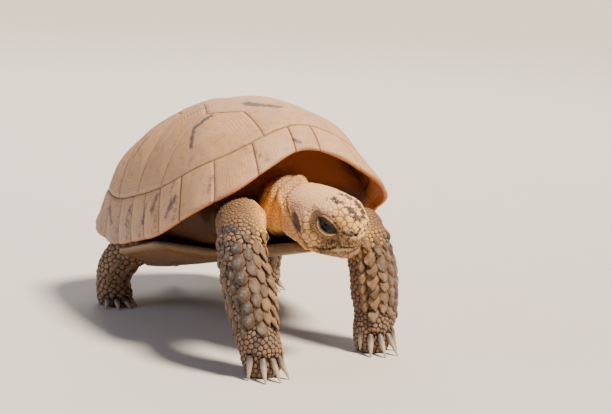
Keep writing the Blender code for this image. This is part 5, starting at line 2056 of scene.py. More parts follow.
@dataclass
class Coat:
    """Small scales over the whole skin, each a closed mesh that fills its share of the room."""

    skin: SkinMap
    seed: int = 11
    sides: int = 12
    rings: tuple = ((0.5, 0.95), (0.82, 0.74), (0.97, 0.28), (1.0, -0.35))
    root_depth: float = 0.25
    neighbours: int = 16
    least_reach: float = 0.2
    least_half: float = 0.15
    widest: float = 1.7
    sharpness: float = 14.0
    lid_scale: float = 0.36
    cell: float = 2.3
    closeness: float = 0.93

    def radii(self, region: Region, points: Array) -> Array:
        """Size of the scale at each point, or 0 where the skin stays bare.

        Args:
            region: the region.
            points: places on the skin.

        Returns:
            Millimetres.
        """
        size = np.full(len(points), region.radius)
        face = self.skin.face
        if region.name.startswith("head"):
            local = self.skin.frame.to_head(points)
            forward, left, up = local.T
            size += 0.25 * smooth(forward, 14, 18) + 0.16 * smooth(up, 9, 5)
            size -= 0.15 * smooth(forward, 17, 13) * smooth(up, 8.5, 12)
            line = face.mouth_line(forward)
            beak = (forward > 13.8) & (up < face.sheath_line(forward) + 0.25)
            size[beak & (up > line - 2.2)] = 0
            size[(np.abs(up - line) < 0.6) & (forward > face.mouth_corner - 1)] = 0
            size[(face.drum_distance(local) < 1.12) & (np.abs(left) > 6)] = 0
            size[face.nostril_distance(local) < 1.05] = 0
            for sign in (1, -1):
                border, _, _, distance, direction = face.lid_distance(local, sign)
                lid = (direction[:, 1] * sign > 0) & (distance < 6.0)
                size[lid & (border < 0.95)] = 0
                size = np.where(lid & (border < 2.4) & (size > 0), self.lid_scale, size)
        if region.name.startswith("foreleg"):
            share, _, _ = LIMBS[region.name][0].coordinates(points, self.skin.frame.shift())
            size *= 0.66 + 0.34 * smooth(share, 0.36, 0.5) - 0.12 * smooth(share, 0.88, 0.96)
        size[face.fields(points)["bare"] > 0.6] = 0
        size[points[:, 2] < 0.5] = 0
        return size

    def thrown(self, points: Array, radii: Array, fixed: list) -> tuple[Array, Array]:
        """Keeps points that leave room for each other.

        Args:
            points: candidates in random order.
            radii: their sizes.
            fixed: (point, radius) pairs that are there already.

        Returns:
            The kept points and radii, without the fixed ones.
        """
        taken = {}
        kept = []
        for (x, y, z), r in fixed:
            taken.setdefault(self.cell_of(x, y, z), []).append((x, y, z, r))
        steps = (-1, 0, 1)
        near = [(i, j, k) for i in steps for j in steps for k in steps]
        for index, ((x, y, z), r) in enumerate(zip(points.tolist(), radii.tolist())):
            a, b, c = self.cell_of(x, y, z)
            others = (other for i, j, k in near for other in taken.get((a + i, b + j, c + k), ()))
            if all((ox - x) ** 2 + (oy - y) ** 2 + (oz - z) ** 2 >= (self.closeness * (r + size)) ** 2
                   for ox, oy, oz, size in others):
                taken.setdefault((a, b, c), []).append((x, y, z, r))
                kept.append(index)
        return points[kept], radii[kept]

    def cell_of(self, x: float, y: float, z: float) -> tuple[int, int, int]:
        """The grid cell that holds a point."""
        return int(x // self.cell), int(y // self.cell), int(z // self.cell)

    def outlines(self, seeds: Array, radii: Array, first: Array, second: Array, region: Region) -> Array:
        """Distance from each seed to the edge of its share, for directions all round it.

        Args:
            seeds: the scales' places.
            radii: their sizes.
            first: direction of angle 0 at each.
            second: direction of a right angle at each.
            region: the region they belong to.

        Returns:
            Millimetres, a row for each seed.
        """
        tree = KDTree(len(seeds))
        for index, seed in enumerate(seeds):
            tree.insert(seed, index)
        tree.balance()
        near = min(self.neighbours, len(seeds))
        index = np.array([[n[1] for n in tree.find_n(seed, near)][1:] for seed in seeds])
        away = seeds[index] - seeds[:, None]
        turns = ring_turns(self.sides)
        parts = [np.sum(away * axis[:, None], axis=2) for axis in (first, second)]
        flat = np.stack(parts, axis=2)
        reach = flat @ np.stack([np.cos(turns), np.sin(turns)])
        square = np.sum(away**2, axis=2) + (radii**2)[:, None] - radii[index] ** 2
        edge = np.where(reach > 1e-3, 0.5 * square[..., None] / np.maximum(reach, 1e-3), 1e3)
        edge = np.maximum(edge, self.least_reach)
        joined = np.sum(edge**-self.sharpness, axis=1) + (self.widest * radii[:, None]) ** -self.sharpness
        return np.maximum(joined ** (-1 / self.sharpness) - region.gap / 2, self.least_half)

    def scales(self, region: Region, seeds: Array, radii: Array, shown: Array, draw: Draw) -> Piece:
        """Builds the region's scales as one mesh piece.

        Args:
            region: the region.
            seeds: places of its scales and of those near it.
            radii: their sizes.
            shown: numbers of the scales that are its own.
            draw: the random numbers.

        Returns:
            The piece.
        """
        places, normals = self.skin.settled(seeds)
        first = self.skin.lie(region.name, places)
        first = unit(first - np.sum(first * normals, axis=1)[:, None] * normals)
        second = np.cross(normals, first)
        edge = self.outlines(places, radii, first, second, region)[shown]
        places, normals, first, second = places[shown], normals[shown], first[shown], second[shown]
        radii = radii[shown]
        turns = ring_turns(self.sides)
        ahead = (edge * np.cos(turns))[..., None] * first[:, None]
        across = (edge * np.sin(turns))[..., None] * second[:, None]
        rim, rim_normals = self.skin.settled(places[:, None] + ahead + across)
        span = rim - places[:, None]
        fall = np.sum(span * normals[:, None], axis=2, keepdims=True) * normals[:, None]
        flat = span - fall
        count = len(places)
        grown = 0.75 + 0.5 * draw.random(count)
        height = region.height * grown * np.clip(radii / region.radius, 0.6, 1.15) ** 2
        lean = region.lean * height[:, None] * np.cos(turns)
        rows = [(places + normals * height[:, None])[:, None]]
        shares = [np.zeros((count, 1))]
        for t, level in self.rings:
            normal = unit(normals[:, None] * (1 - t) + rim_normals * t)
            rise = height[:, None] * level + lean * t * max(level, 0.0)
            rows.append(places[:, None] + flat * t + fall * t * t + normal * rise[..., None])
            shares.append(np.full((count, self.sides), t))
        rows.append((places - normals * self.root_depth)[:, None])
        shares.append(np.ones((count, 1)))
        points = np.concatenate(rows, axis=1)
        points[..., 2] = np.maximum(points[..., 2], 0.0)
        one = closed_rings(len(self.rings), self.sides)
        size = points.shape[1]
        faces = [face for start in range(0, count * size, size) for face in numbered_from(start, one)]
        share = np.concatenate(shares, axis=1)
        if region.name.startswith("head"):
            fields = skin_fields(self.skin.frame, self.skin.face, points.reshape(-1, 3))
        else:
            fields = skin_fields(self.skin.frame, self.skin.face, places)
            fields = {name: np.repeat(values, size) for name, values in fields.items()}
        fields["rim"] = share.ravel()
        fields["tone"] = np.repeat(draw.random(count), size)
        piece = mesh_piece(f"scales_{region.name}", points.reshape(-1, 3), faces, fields)
        ring = np.stack([np.cos(turns), np.sin(turns)], axis=1)
        ring = np.concatenate([[(0, 0)], *[ring] * len(self.rings), [(0, 0)]])
        bake_patches(piece, self.skin.unwrapped(region.name, places), share[..., None] * ring)
        return piece

    def build(self, finish: Finish, taken: list) -> list[Piece]:
        """Makes every region's scales.

        Args:
            finish: the scales' finish.
            taken: (point, radius) pairs where large scales lie already.

        Returns:
            The pieces.
        """
        draw = np.random.default_rng(self.seed)
        points = self.skin.scattered(draw)
        labels = self.skin.labels(points)
        made = []
        fixed = list(taken)
        for region in REGIONS:
            own = []
            if region.name.startswith("head"):
                sign = 1 if region.name.endswith("left") else -1
                spots = np.array([(p.forward, sign * p.outward, p.up) for p in HEAD_PLATES])
                places, _ = self.skin.settled(self.skin.frame.from_head(spots))
                own = [(tuple(place), plate.radius) for place, plate in zip(places, HEAD_PLATES)]
            here = points[labels == region.name]
            radii = self.radii(region, here)
            here, radii = here[radii > 0], radii[radii > 0]
            seeds, radii = self.thrown(here, radii, fixed + own)
            low, high = seeds.min(axis=0) - 3, seeds.max(axis=0) + 3
            about = [(p, r) for p, r in fixed if np.all(low < p) and np.all(high > p)]
            everyone = np.array([p for p, _ in own + about] + seeds.tolist())
            sizes = np.array([r for _, r in own + about] + radii.tolist())
            shown = np.concatenate([np.arange(len(own)), np.arange(len(own) + len(about), len(everyone))])
            piece = self.scales(region, everyone, sizes, shown, draw)
            made.append(clothe(piece, finish, "leg_scales"))
            fixed += own + [(tuple(p), r) for p, r in zip(seeds, radii)]
            LOG.info("scales of %s: %d", region.name, len(shown))
        return made


# ---------------------------------------------------------------- large scales of legs and tail


@dataclass(frozen=True)
class LargeScale:
    """A large scale's place on a limb and its size in millimetres.

    Attributes:
        share: place along the limb.
        angle: place round it in degrees.
        length: size along the limb.
        width: size across it.
        height: how far its tip stands off.
        point: how pointed its tip is, from 0 to 1.
        slate: how blue-grey its middle is.
        dome: how far its middle swells above its edge.
    """

    share: float
    angle: float
    length: float
    width: float
    height: float
    point: float = 0.5
    slate: float = 0.5
    dome: float = 0.4


@dataclass(frozen=True)
class Column:
    """One lengthwise row of large scales on a right foreleg; a left one mirrors it.

    Attributes:
        angle: place round the leg in degrees.
        width: a scale's size across the leg in millimetres.
        length: its size along the leg.
        dome: how far its middle swells.
        slate: how blue-grey it is.
        point: how pointed its tip is.
        lift: how far its tip stands off.
        offset: how far its first scale lies down the leg, as a share of the leg.
    """

    angle: float
    width: float
    length: float
    dome: float
    slate: float
    point: float
    lift: float
    offset: float


COLUMNS = (
    Column(30.0, 3.6, 5.0, 0.3, 0.1, 0.8, 1.0, 0.0), Column(54.0, 4.3, 6.0, 0.35, 0.15, 0.95, 1.5, 0.03),
    Column(80.0, 4.0, 5.6, 0.45, 0.4, 0.7, 0.9, 0.0), Column(105.0, 3.7, 5.2, 0.6, 0.75, 0.4, 0.65, 0.04),
    Column(131.0, 4.5, 5.3, 1.15, 1.0, 0.15, 0.25, 0.0), Column(155.0, 2.9, 4.4, 0.55, 0.9, 0.3, 0.45, 0.04),
    Column(178.0, 3.3, 4.8, 0.6, 0.8, 0.4, 0.45, 0.0), Column(202.0, 3.0, 4.4, 0.4, 0.4, 0.4, 0.45, 0.04),
)


@dataclass
class LargeScales:
    """Overlapping horny scales on the front of the legs and round the tail."""

    skin: SkinMap
    seed: int = 5
    sides: int = 28
    top: tuple = (0.3, 0.55, 0.75, 0.88, 0.96, 1.0)
    under: tuple = (0.97, 0.8, 0.45)
    first_row: float = 0.455
    last_row: float = 0.985
    row_spacing: float = 0.0765
    room: float = 0.36
    search: float = 9.0
    edge_thickness: float = 0.34
    middle_thickness: float = 0.26
    keel_height: float = 0.1
    roughness: float = 0.09

    def foreleg(self, mirror: int, draw: Draw) -> list[LargeScale]:
        """Staggered rows of scales down a foreleg's front: domed outside, pointed along the inner edge.

        Args:
            mirror: 1 for the right leg, -1 for the left.
            draw: the random numbers.

        Returns:
            The scales.
        """
        made = []
        for column in COLUMNS:
            angle = column.angle if mirror == 1 else 180.0 - column.angle
            for share in np.arange(self.first_row + column.offset, self.last_row, self.row_spacing):
                grown = 0.58 + 0.42 * smooth(share, 0.44, 0.6)
                size = float(grown * (1 - 0.18 * smooth(share, 0.93, 1.0)) * draw.uniform(0.9, 1.08))
                made.append(LargeScale(
                    share + 0.006 * draw.standard_normal(), angle + 2.0 * draw.standard_normal(),
                    size * column.length, size * column.width, size * column.lift, column.point,
                    column.slate * draw.uniform(0.75, 1.0), size * column.dome))
        return made

    def outline(self, scale: LargeScale, turns: Array) -> tuple[Array, Array]:
        """Edge of a scale: millimetres along the limb and across it.

        Args:
            scale: the scale.
            turns: angles round it from its tip, in radians.

        Returns:
            Two values for each angle.
        """
        ahead, across = np.cos(turns), np.sin(turns)
        narrowed = 1 - 0.42 * scale.point * np.clip(ahead, 0, 1) ** 1.5
        back = 1 - 0.15 * np.clip(-ahead, 0, 1) ** 2
        reach = 0.5 * scale.length * ahead * (1 + 0.16 * scale.point * np.clip(ahead, 0, 1) ** 3)
        return reach, 0.5 * scale.width * across * narrowed * back

    def shield(self, name: str, scale: LargeScale, draw: Draw) -> tuple[Array, list, Fields, Array, Array]:
        """One scale as a closed mesh: points, faces, fields, its root and its points' places on the map.

        Args:
            name: the limb's region.
            scale: the scale.
            draw: the random numbers.

        Returns:
            The five values.
        """
        line, along, side, other = LIMBS[name][0].frames(self.skin.frame.shift())
        row = int(np.clip(scale.share, 0, 1) * (len(line) - 1))
        turn = math.radians(scale.angle)
        out = side[row] * math.cos(turn) + other[row] * math.sin(turn)
        hit, normal = self.skin.settled((line[row] + out * self.search)[None])
        seed, normal = hit[0], normal[0]
        normal = unit((normal + out)[None])[0]
        ahead = unit((along[row] - np.dot(along[row], normal) * normal)[None])[0]
        across = np.cross(normal, ahead)
        turns = ring_turns(self.sides)
        a, b = self.outline(scale, turns)
        waves = sum(draw.uniform(-0.05, 0.05) * np.cos(k * turns + draw.uniform(0, 6.3))
                    for k in (2, 3, 5, 7))
        a, b = a * (1 + waves), b * (1 + waves)
        rings = self.top + self.under
        t = np.concatenate([[0.0], np.repeat(rings, self.sides), [0.0]])
        upper = np.arange(len(t)) < 1 + len(self.top) * self.sides
        angles = np.concatenate([[0.0], np.tile(turns, len(rings)), [0.0]])
        edge = a[:, None] * ahead + b[:, None] * across
        spots = seed + np.concatenate([np.zeros((1, 3)), *[r * edge for r in rings], np.zeros((1, 3))])
        ground, _ = self.skin.settled(spots)
        forward = (spots - seed) @ ahead / (0.5 * scale.length)
        sideways = (spots - seed) @ across / (0.5 * scale.width)
        lift = scale.height * (0.12 + 0.88 * smooth(forward, -1.0, 0.9))
        crown = scale.dome * (1 - t**2.2) ** 0.62
        crown += self.keel_height * bell(sideways, 0.22) * smooth(forward, -0.9, 0.2) * smooth(t, 1.0, 0.8)
        rough = self.roughness * noise_at(spots * np.array((1, 1, 1.3)), 1.1, 17.0, 3)
        thick = self.edge_thickness + self.middle_thickness * (1 - t)
        rise = np.where(upper, lift + crown + rough, lift - thick)
        rise = np.where(~upper & (forward < 0.1), np.minimum(rise, -0.2 - 0.2 * (t < 0.9)), rise)
        rise = np.where(~upper & (t < 0.6), -0.35, rise)
        closeness = 0.55 * smooth(forward, -0.3, 1.0)
        flat = spots - normal * ((spots - seed) @ normal)[:, None]
        stiff = flat + normal * ((ground - seed) @ normal)[:, None] * 0.8
        base = ground * (1 - closeness[:, None]) + stiff * closeness[:, None]
        points = base + normal * rise[:, None]
        points[:, 2] = np.maximum(points[:, 2], 0.0)
        faces = closed_rings(len(rings), self.sides)
        fields = {
            "rim": np.where(upper, t, 1.0),
            "tone": np.full(len(points), draw.random()),
            "centre": np.full(len(points), scale.slate),
        }
        offsets = t[:, None] * np.stack([np.cos(angles), np.sin(angles)], axis=1)
        return points, faces, fields, seed, offsets

    def build(self, finish: Finish) -> tuple[list[Piece], list]:
        """Makes the large scales of every limb.

        Args:
            finish: their finish.

        Returns:
            The pieces, and (point, radius) pairs of the scales for the small ones to leave room.
        """
        draw = np.random.default_rng(self.seed)
        heel = [LargeScale(share, angle, 3.4, 2.8, 0.7, 0.5, 0.3)
                for angle in (60.0, 95.0, 130.0) for share in (0.66, 0.8, 0.94)]
        mirrored = [LargeScale(s.share, 180.0 - s.angle, s.length, s.width, s.height) for s in heel]
        belt = [LargeScale(share, angle, 2.6, 2.2, 0.45, 0.4, 0.2)
                for share in np.arange(0.3, 0.95, 0.16) for angle in range(0, 360, 45)]
        plans = {
            "foreleg_right": self.foreleg(1, draw),
            "foreleg_left": self.foreleg(-1, draw),
            "hind_leg_right": heel,
            "hind_leg_left": mirrored,
            "tail": belt,
        }
        made, taken = [], []
        for name, plan in plans.items():
            points, faces, fields, roots, patches = [], [], {}, [], []
            for scale in plan:
                own, own_faces, own_fields, root, patch = self.shield(name, scale, draw)
                faces += numbered_from(len(points) * len(own), own_faces)
                points.append(own)
                for key, values in own_fields.items():
                    fields.setdefault(key, []).append(values)
                taken.append((tuple(root), self.room * scale.width))
                roots.append(root)
                patches.append(patch)
            seeds = np.array(roots)
            spread = skin_fields(self.skin.frame, self.skin.face, seeds)
            merged = {key: np.concatenate(values) for key, values in fields.items()}
            merged |= {key: np.repeat(values, len(points[0])) for key, values in spread.items()}
            piece = mesh_piece(f"large_scales_{name}", np.concatenate(points), faces, merged)
            bake_patches(piece, self.skin.unwrapped(name, seeds), np.array(patches))
            made.append(clothe(piece, finish, "leg_scales"))
        return made, taken


# ---------------------------------------------------------------- finishes of the body


@dataclass(frozen=True)
class HideLeather:
    """Dry reptile skin between and under the scales: matt, tan, yellower in the folds of neck and arms, that
    yellow partly painted light; painted shade lies in gaps, creases, eye sockets, under the jaw and in the
    shell's hollow.
    """

    tan: str = "a1744c"
    pale: str = "d2a985"
    crown: str = "ecbd90"
    snout: str = "e8b47c"
    gold: str = "f6bd5c"
    # warm: golden skin, partly its own colour and partly painted light
    warm: str = "f6bb64"
    leg: str = "745b46"
    brown: str = "5c3a1e"
    slate: str = "393d49"
    blotch: str = "1b1a22"
    cream: str = "ecd19c"
    # black: the lids' own dark margins, and painted shade in slits, mouth, nostrils and beak seam
    black: str = "120e0c"
    grey: str = "857765"
    # deep: painted shade of the hollow inside the shell
    deep: str = "3a200e"
    # painted glow under the shell's front rim
    painted_glow: str = "9c4f0a"
    # socket: painted shade round the eyes and in the neck crease
    socket: str = "5f3c1d"
    # painted shade under the jaw and on the outer upper arm
    jaw: str = "6e4a2c"
    worn: str = "8b7a7c"
    # collar: the fold's own tan, partly painted light on its ridge
    collar: str = "d2954c"
    beak: str = "b58a5c"
    beak_streak: str = "2c211b"
    # painted shade of the skin in the gaps between scales, near-black on the legs
    between: str = "59361c"
    leg_gap_shade: str = "1b130c"

    def patterns(self) -> dict[str, Pattern]:
        """The patterns that skin and small scales share."""
        return {"broad": Pattern(3.5), "fine": Pattern(0.5, 4.0, 0.6), "flecks": Pattern(0.9, 4.0, 0.7),
                "ragged": Pattern(0.8, 3.0, 0.7), "streaks": Pattern(0.7, 4.0, 0.7, (1.0, 1.0, 0.4))}

    def lay_markings(self, s: Surface, toned: bool) -> None:
        """Lays the markings, painted shade and painted light that skin and scales share.

        Args:
            s: the material under construction.
            toned: whether each scale has a tone of its own.
        """
        s.lay(self.grey, Cue("broad", 0.3, 0.7, 0.0, 0.45))
        if toned:
            s.lay(self.pale, Cue("tone", 0.0, 1.0, 0.0, 0.5))
        s.lay(self.leg, Cue("leg"), Cue("broad", 0.25, 0.7, 0.66, 0.95))
        s.lay(self.crown, Cue("head"), Cue("fine", 0.2, 0.8, 0.6, 1.0))
        s.lay(self.snout, Cue("snout"), Cue("fine", 0.25, 0.7, 0.55, 0.9))
        # painted shade round the eyes and in the neck crease
        s.lay(self.socket, Cue("socket"), 0.85)
        # painted shade under the jaw and on the outer upper arm
        s.lay(self.jaw, Cue("jaw"), Cue("fine", 0.3, 0.7, 0.4, 0.9))
        # golden skin, partly its own colour and partly painted light
        s.lay(self.warm, Cue("warm"), Cue("broad", 0.2, 0.6, 0.5, 1.0))
        s.lay(self.gold, Cue("gold"), Cue("fine", 0.2, 0.7, 1.0, 0.7))
        s.lay(self.worn, Cue("snout"), Cue("flecks", 0.5, 0.64, 0.0, 0.5))
        # collar fold: its own tan, partly painted light on the ridge
        s.lay(self.collar, Cue("bare"), Cue("broad", 0.3, 0.7, 0.7, 1.0))
        s.lay(s.blend(self.beak, self.beak_streak, Cue("streaks", 0.42, 0.58)), Cue("beak"))
        patchy = s.combined("ADD", Cue("blotch"), Cue("ragged", 0.3, 0.7, -0.4, 0.4))
        s.lay(self.blotch, Cue(patchy, 0.42, 0.68, 0.0, 0.92))
        s.lay(self.slate, Cue("patch"), Cue("fine", 0.3, 0.6, 0.4, 0.9))
        s.lay(self.slate, Cue("slate"), 0.9)
        s.lay(self.cream, Cue("cream"), 0.95)
        s.lay(self.brown, Cue("fine", 0.6, 0.78, 0.0, 0.4))

    def lay_shadows(self, s: Surface) -> None:
        """Lays black in the eye slits, mouth, nostrils and beak seam as painted shade with the lids' own dark
        margins, and painted shade of the hollow inside the shell with a painted glow under its front rim.
        """
        s.lay(self.black, Cue("dark"))
        s.lay(s.blend(self.deep, self.painted_glow, Cue("painted_glow")), Cue("deep"), 0.92)

    def build(self) -> Finish:
        """Makes the material.

        Returns:
            The material.
        """
        s = Surface("tortoise_hide_dry", self.tan, self.patterns() | {"creases": Pattern(0.7, cells=True)})
        self.lay_markings(s, toned=False)
        # painted shade in the skin's fine creases
        s.lay(self.brown, Cue("creases", 0.09, 0.0, 0.0, 0.5))
        crown = s.combined("SUBTRACT", Cue("head"), s.combined("MULTIPLY", Cue("snout"), 0.75))
        folds = s.combined("MULTIPLY", s.combined("MAXIMUM", Cue("soft"), crown), 0.42)
        collar = s.combined("MULTIPLY", Cue("bare"), 1.4)
        pale = s.combined("MAXIMUM", Cue("cream"), Cue("slate"))
        kept = s.combined("MAXIMUM", Cue("beak"), pale, collar, folds)
        # painted shade of the skin in the gaps between scales, near-black on the legs, except where the skin
        # keeps its own colour
        between = s.blend(self.between, self.leg_gap_shade, Cue("leg"))
        s.lay(between, Cue(kept, 0.5, 0.0, 0.0, 0.75))
        self.lay_shadows(s)
        bumps = ((Cue("creases", 0.0, 0.15), 0.07), (Cue("fine"), 0.07))
        return s.finish(Cue("fine", 0.2, 0.8, 0.55, 0.75), *bumps, IOR=1.45, Specular_IOR_Level=0.35,
                        Subsurface_Weight=0.04, Subsurface_Scale=0.0006)


@dataclass(frozen=True)
class SmallScale:
    """Dry granular scales: the hide's tan with paler tops, each edged with painted shade, near-black on the
    legs.
    """

    leather: HideLeather = HideLeather()
    # dust: painted shade at each scale's rim, in the gaps between scales
    dust: str = "4f3018"
    leg_rim_shade: str = "24180f"

    def build(self) -> Finish:
        """Makes the material.

        Returns:
            The material.
        """
        s = Surface("scale_granular_dry", self.leather.tan, self.leather.patterns())
        self.leather.lay_markings(s, toned=True)
        crown = s.combined("SUBTRACT", Cue("head"), Cue("snout"))
        face = s.combined("MULTIPLY", Cue("head"), 0.45)
        plain = s.combined("MAXIMUM", face, s.combined("MAXIMUM", crown, Cue("soft")))
        # painted shade round each scale's rim, weaker where the skin is plain
        dust = s.blend(self.dust, self.leg_rim_shade, Cue("leg"))
        s.lay(dust, Cue("rim", 0.8, 1.0, 0.0, 0.92), Cue(plain, 0.0, 1.0, 1.0, 0.22))
        self.leather.lay_shadows(s)
        roughness = Cue("fine", 0.2, 0.8, 0.5, 0.7)
        return s.finish(roughness, (Cue("fine"), 0.06), IOR=1.5, Specular_IOR_Level=0.35)


@dataclass(frozen=True)
class LargeScaleHorn:
    """Thick horny leg scales: blue-grey middles with a pale grey painted highlight, tan to brown rims with
    growth rings, the brown of rims and undersides partly their own colour and partly painted shade, dull
    shine.
    """

    tan: str = "a57a4f"
    earth: str = "69482c"
    brown: str = "311f10"
    slate: str = "23262f"
    # worn: pale grey painted highlight on the slate middles
    worn: str = "b4b0b2"
    pale: str = "bd9a72"
    rings: float = 44.0 / (2 * math.pi)

    def build(self) -> Finish:
        """Makes the material.

        Returns:
            The material.
        """
        patterns = {"fine": Pattern(0.45, 4.0, 0.6), "broad": Pattern(2.5)}
        s = Surface("scale_horn_ringed", self.tan, patterns)
        s.lay(self.earth, Cue("tone", 0.0, 1.0))
        s.lay(self.pale, Cue("broad", 0.35, 0.65, 0.0, 0.5))
        # painted highlight: pale grey toward each slate middle
        rubbed = s.blend(self.slate, self.worn, Cue("fine", 0.47, 0.63), Cue("rim", 0.72, 0.1))
        s.lay(rubbed, Cue("rim", 0.97, 0.75), Cue("centre"), Cue("fine", 0.25, 0.6, 0.7, 1.0))
        # brown rims and undersides: partly their own colour, partly painted shade
        s.lay(self.brown, Cue("rim", 0.76, 0.99, 0.0, 0.95))
        s.lay(self.brown, Cue("fine", 0.54, 0.7, 0.0, 0.7))
        bumps = ((s.wave(Cue("rim"), 1 / self.rings), 0.06), (Cue("fine"), 0.2))
        return s.finish(Cue("fine", 0.2, 0.8, 0.24, 0.5), *bumps, IOR=1.52, Specular_IOR_Level=0.4)


@dataclass(frozen=True)
class ClawHorn:
    """Claw keratin, scraped blunt: pale warm grey, darker at the root, with fine lengthwise lines."""

    pale: str = "a99a89"
    dark: str = "5f5042"
    root: str = "3b2d22"

    def build(self) -> Finish:
        """Makes the material.

        Returns:
            The material.
        """
        s = Surface("claw_keratin_scraped", self.pale, {"lines": Pattern(0.5, 4.0, 0.6, (2.0, 2.0, 0.4))})
        s.lay(self.dark, Cue("lines", 0.4, 0.7, 0.0, 0.55))
        s.lay(self.root, Cue("root"), 0.8)
        roughness = Cue("lines", 0.3, 0.7, 0.38, 0.55)
        return s.finish(roughness, (Cue("lines"), 0.05), IOR=1.54, Specular_IOR_Level=0.45)


@dataclass(frozen=True)
class EyeTissue:
    """A live eye under a tear film: near-black pupil, dark brown iris with a fine paler ring, wet shine."""

    pupil: str = "030303"
    iris: str = "190f09"
    ring: str = "3d2614"
    white: str = "241a13"

    def build(self) -> Finish:
        """Makes the material, by the angle turn in radians from the middle of the pupil.

        Returns:
            The material.
        """
        s = Surface("eye_wet_cornea", self.pupil, {"fibres": Pattern(0.25, 3.0, 0.6)})
        s.lay(self.iris, Cue("turn", 0.30, 0.36))
        s.lay(self.ring, Cue("turn", 0.34, 0.42), Cue("turn", 0.62, 0.5), Cue("fibres", 0.4, 0.65))
        s.lay(self.white, Cue("turn", 0.62, 0.72))
        return s.finish(Cue("fibres", 0.0, 1.0, 0.04, 0.1), IOR=1.34, Specular_IOR_Level=0.35)


@dataclass(frozen=True)
class FloorPlaster:
    """Pale matt studio floor."""

    pale: str = "cdc9c3"
    cloud: str = "c4c0b9"

    def build(self) -> Finish:
        """Makes the material.

        Returns:
            The material.
        """
        s = Surface("floor_matt_pale", self.pale, {"broad": Pattern(60.0, 2.0), "fine": Pattern(5.0)})
        s.lay(self.cloud, Cue("broad", 0.3, 0.7, 0.0, 0.15))
        return s.finish(Cue("fine", 0.0, 1.0, 0.75, 0.85))


# ---------------------------------------------------------------- eyes and claws


@dataclass
class Eyes:
    """Both eyeballs, each with a bulging cornea."""

    frame: Frame
    face: Face
    cornea_rise: float = 0.12
    cornea_reach: float = 0.75
    clearance: float = 0.02
    rings: int = 39
    sides: int = 64

    def build(self, finish: Finish) -> list[Piece]:
        """Makes and dresses the eyes.

        Args:
            finish: their finish.

        Returns:
            The eyeballs.
        """
        made = []
        radius = self.frame.eye_radius - self.cornea_rise - self.clearance
        polar = np.linspace(0, math.pi, self.rings + 2)[1:-1]
        turn = np.concatenate([[0.0], np.repeat(polar, self.sides), [math.pi]])
        around = np.concatenate([[0.0], np.tile(ring_turns(self.sides), self.rings), [0.0]])
        reach = radius + self.cornea_rise * smooth(turn, self.cornea_reach, 0.1)
        for word, side in (("left", 1), ("right", -1)):
            centre, outward, _, _ = self.face.eye_axes(side)
            first = unit(np.cross(outward, (0, 0, 1)))
            second = np.cross(outward, first)
            sideways = np.cos(around)[:, None] * first + np.sin(around)[:, None] * second
            direction = np.cos(turn)[:, None] * outward + np.sin(turn)[:, None] * sideways
            points = self.frame.from_head(centre + direction * reach[:, None])
            faces = closed_rings(self.rings, self.sides)
            piece = mesh_piece(f"eyeball_{word}", points, faces, {"turn": turn})
            face_outwards(piece)
            made.append(clothe(piece, finish, "eye", f"eye_{word}"))
        return made


@dataclass
class Claws:
    """The claws and thigh spurs, rounded and worn from the plain horn cones."""

    levels: int = 3
    wear: float = 0.06

    def build(self, nodes: dict, finish: Finish) -> list[Piece]:
        """Makes and dresses every claw and spur.

        Args:
            nodes: the frame's solids by name.
            finish: the horn.

        Returns:
            The pieces.
        """
        made = []
        for name in sorted(n for n in nodes if "claw" in n or "spur" in n):
            piece = linked(name + "_horn", stored(welded(nodes[name]), name + "_horn"))
            modified(piece, "SUBSURF", levels=self.levels, render_levels=self.levels)
            fine = piece.data
            points = np.array([v.co for v in fine.vertices]) / MM
            normals = np.array([v.normal for v in fine.vertices])
            points -= normals * (self.wear * (0.5 + 0.5 * noise_at(points, 0.9, 3.0, 2)))[:, None]
            points[:, 2] = np.maximum(points[:, 2], 0.0)
            fine.vertices.foreach_set("co", (points * MM).astype(np.float32).ravel())
            fine.shade_smooth()
            share = (points[:, 2] - points[:, 2].min()) / np.ptp(points[:, 2])
            add_fields(piece, {"root": smooth(share, 0.5, 0.95)})
            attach(piece, BODY)
            made.append(clothe(piece, finish, "claw_horn", name))
        return made


# ---------------------------------------------------------------- studio


@dataclass(frozen=True)
class Lamp:
    """A light that faces the animal.

    Attributes:
        name: the light's name.
        kind: SUN for an even light from far away, or AREA for a soft panel.
        azimuth: where it stands, in degrees round the animal like the camera's.
        elevation: its height as an angle.
        power: watts, or watts on a square metre for a sun.
        colour: its sRGB hex colour.
        size: a panel's side in metres, or a sun's width in degrees.
    """

    name: str
    kind: str
    azimuth: float
    elevation: float
    power: float
    colour: str
    size: float


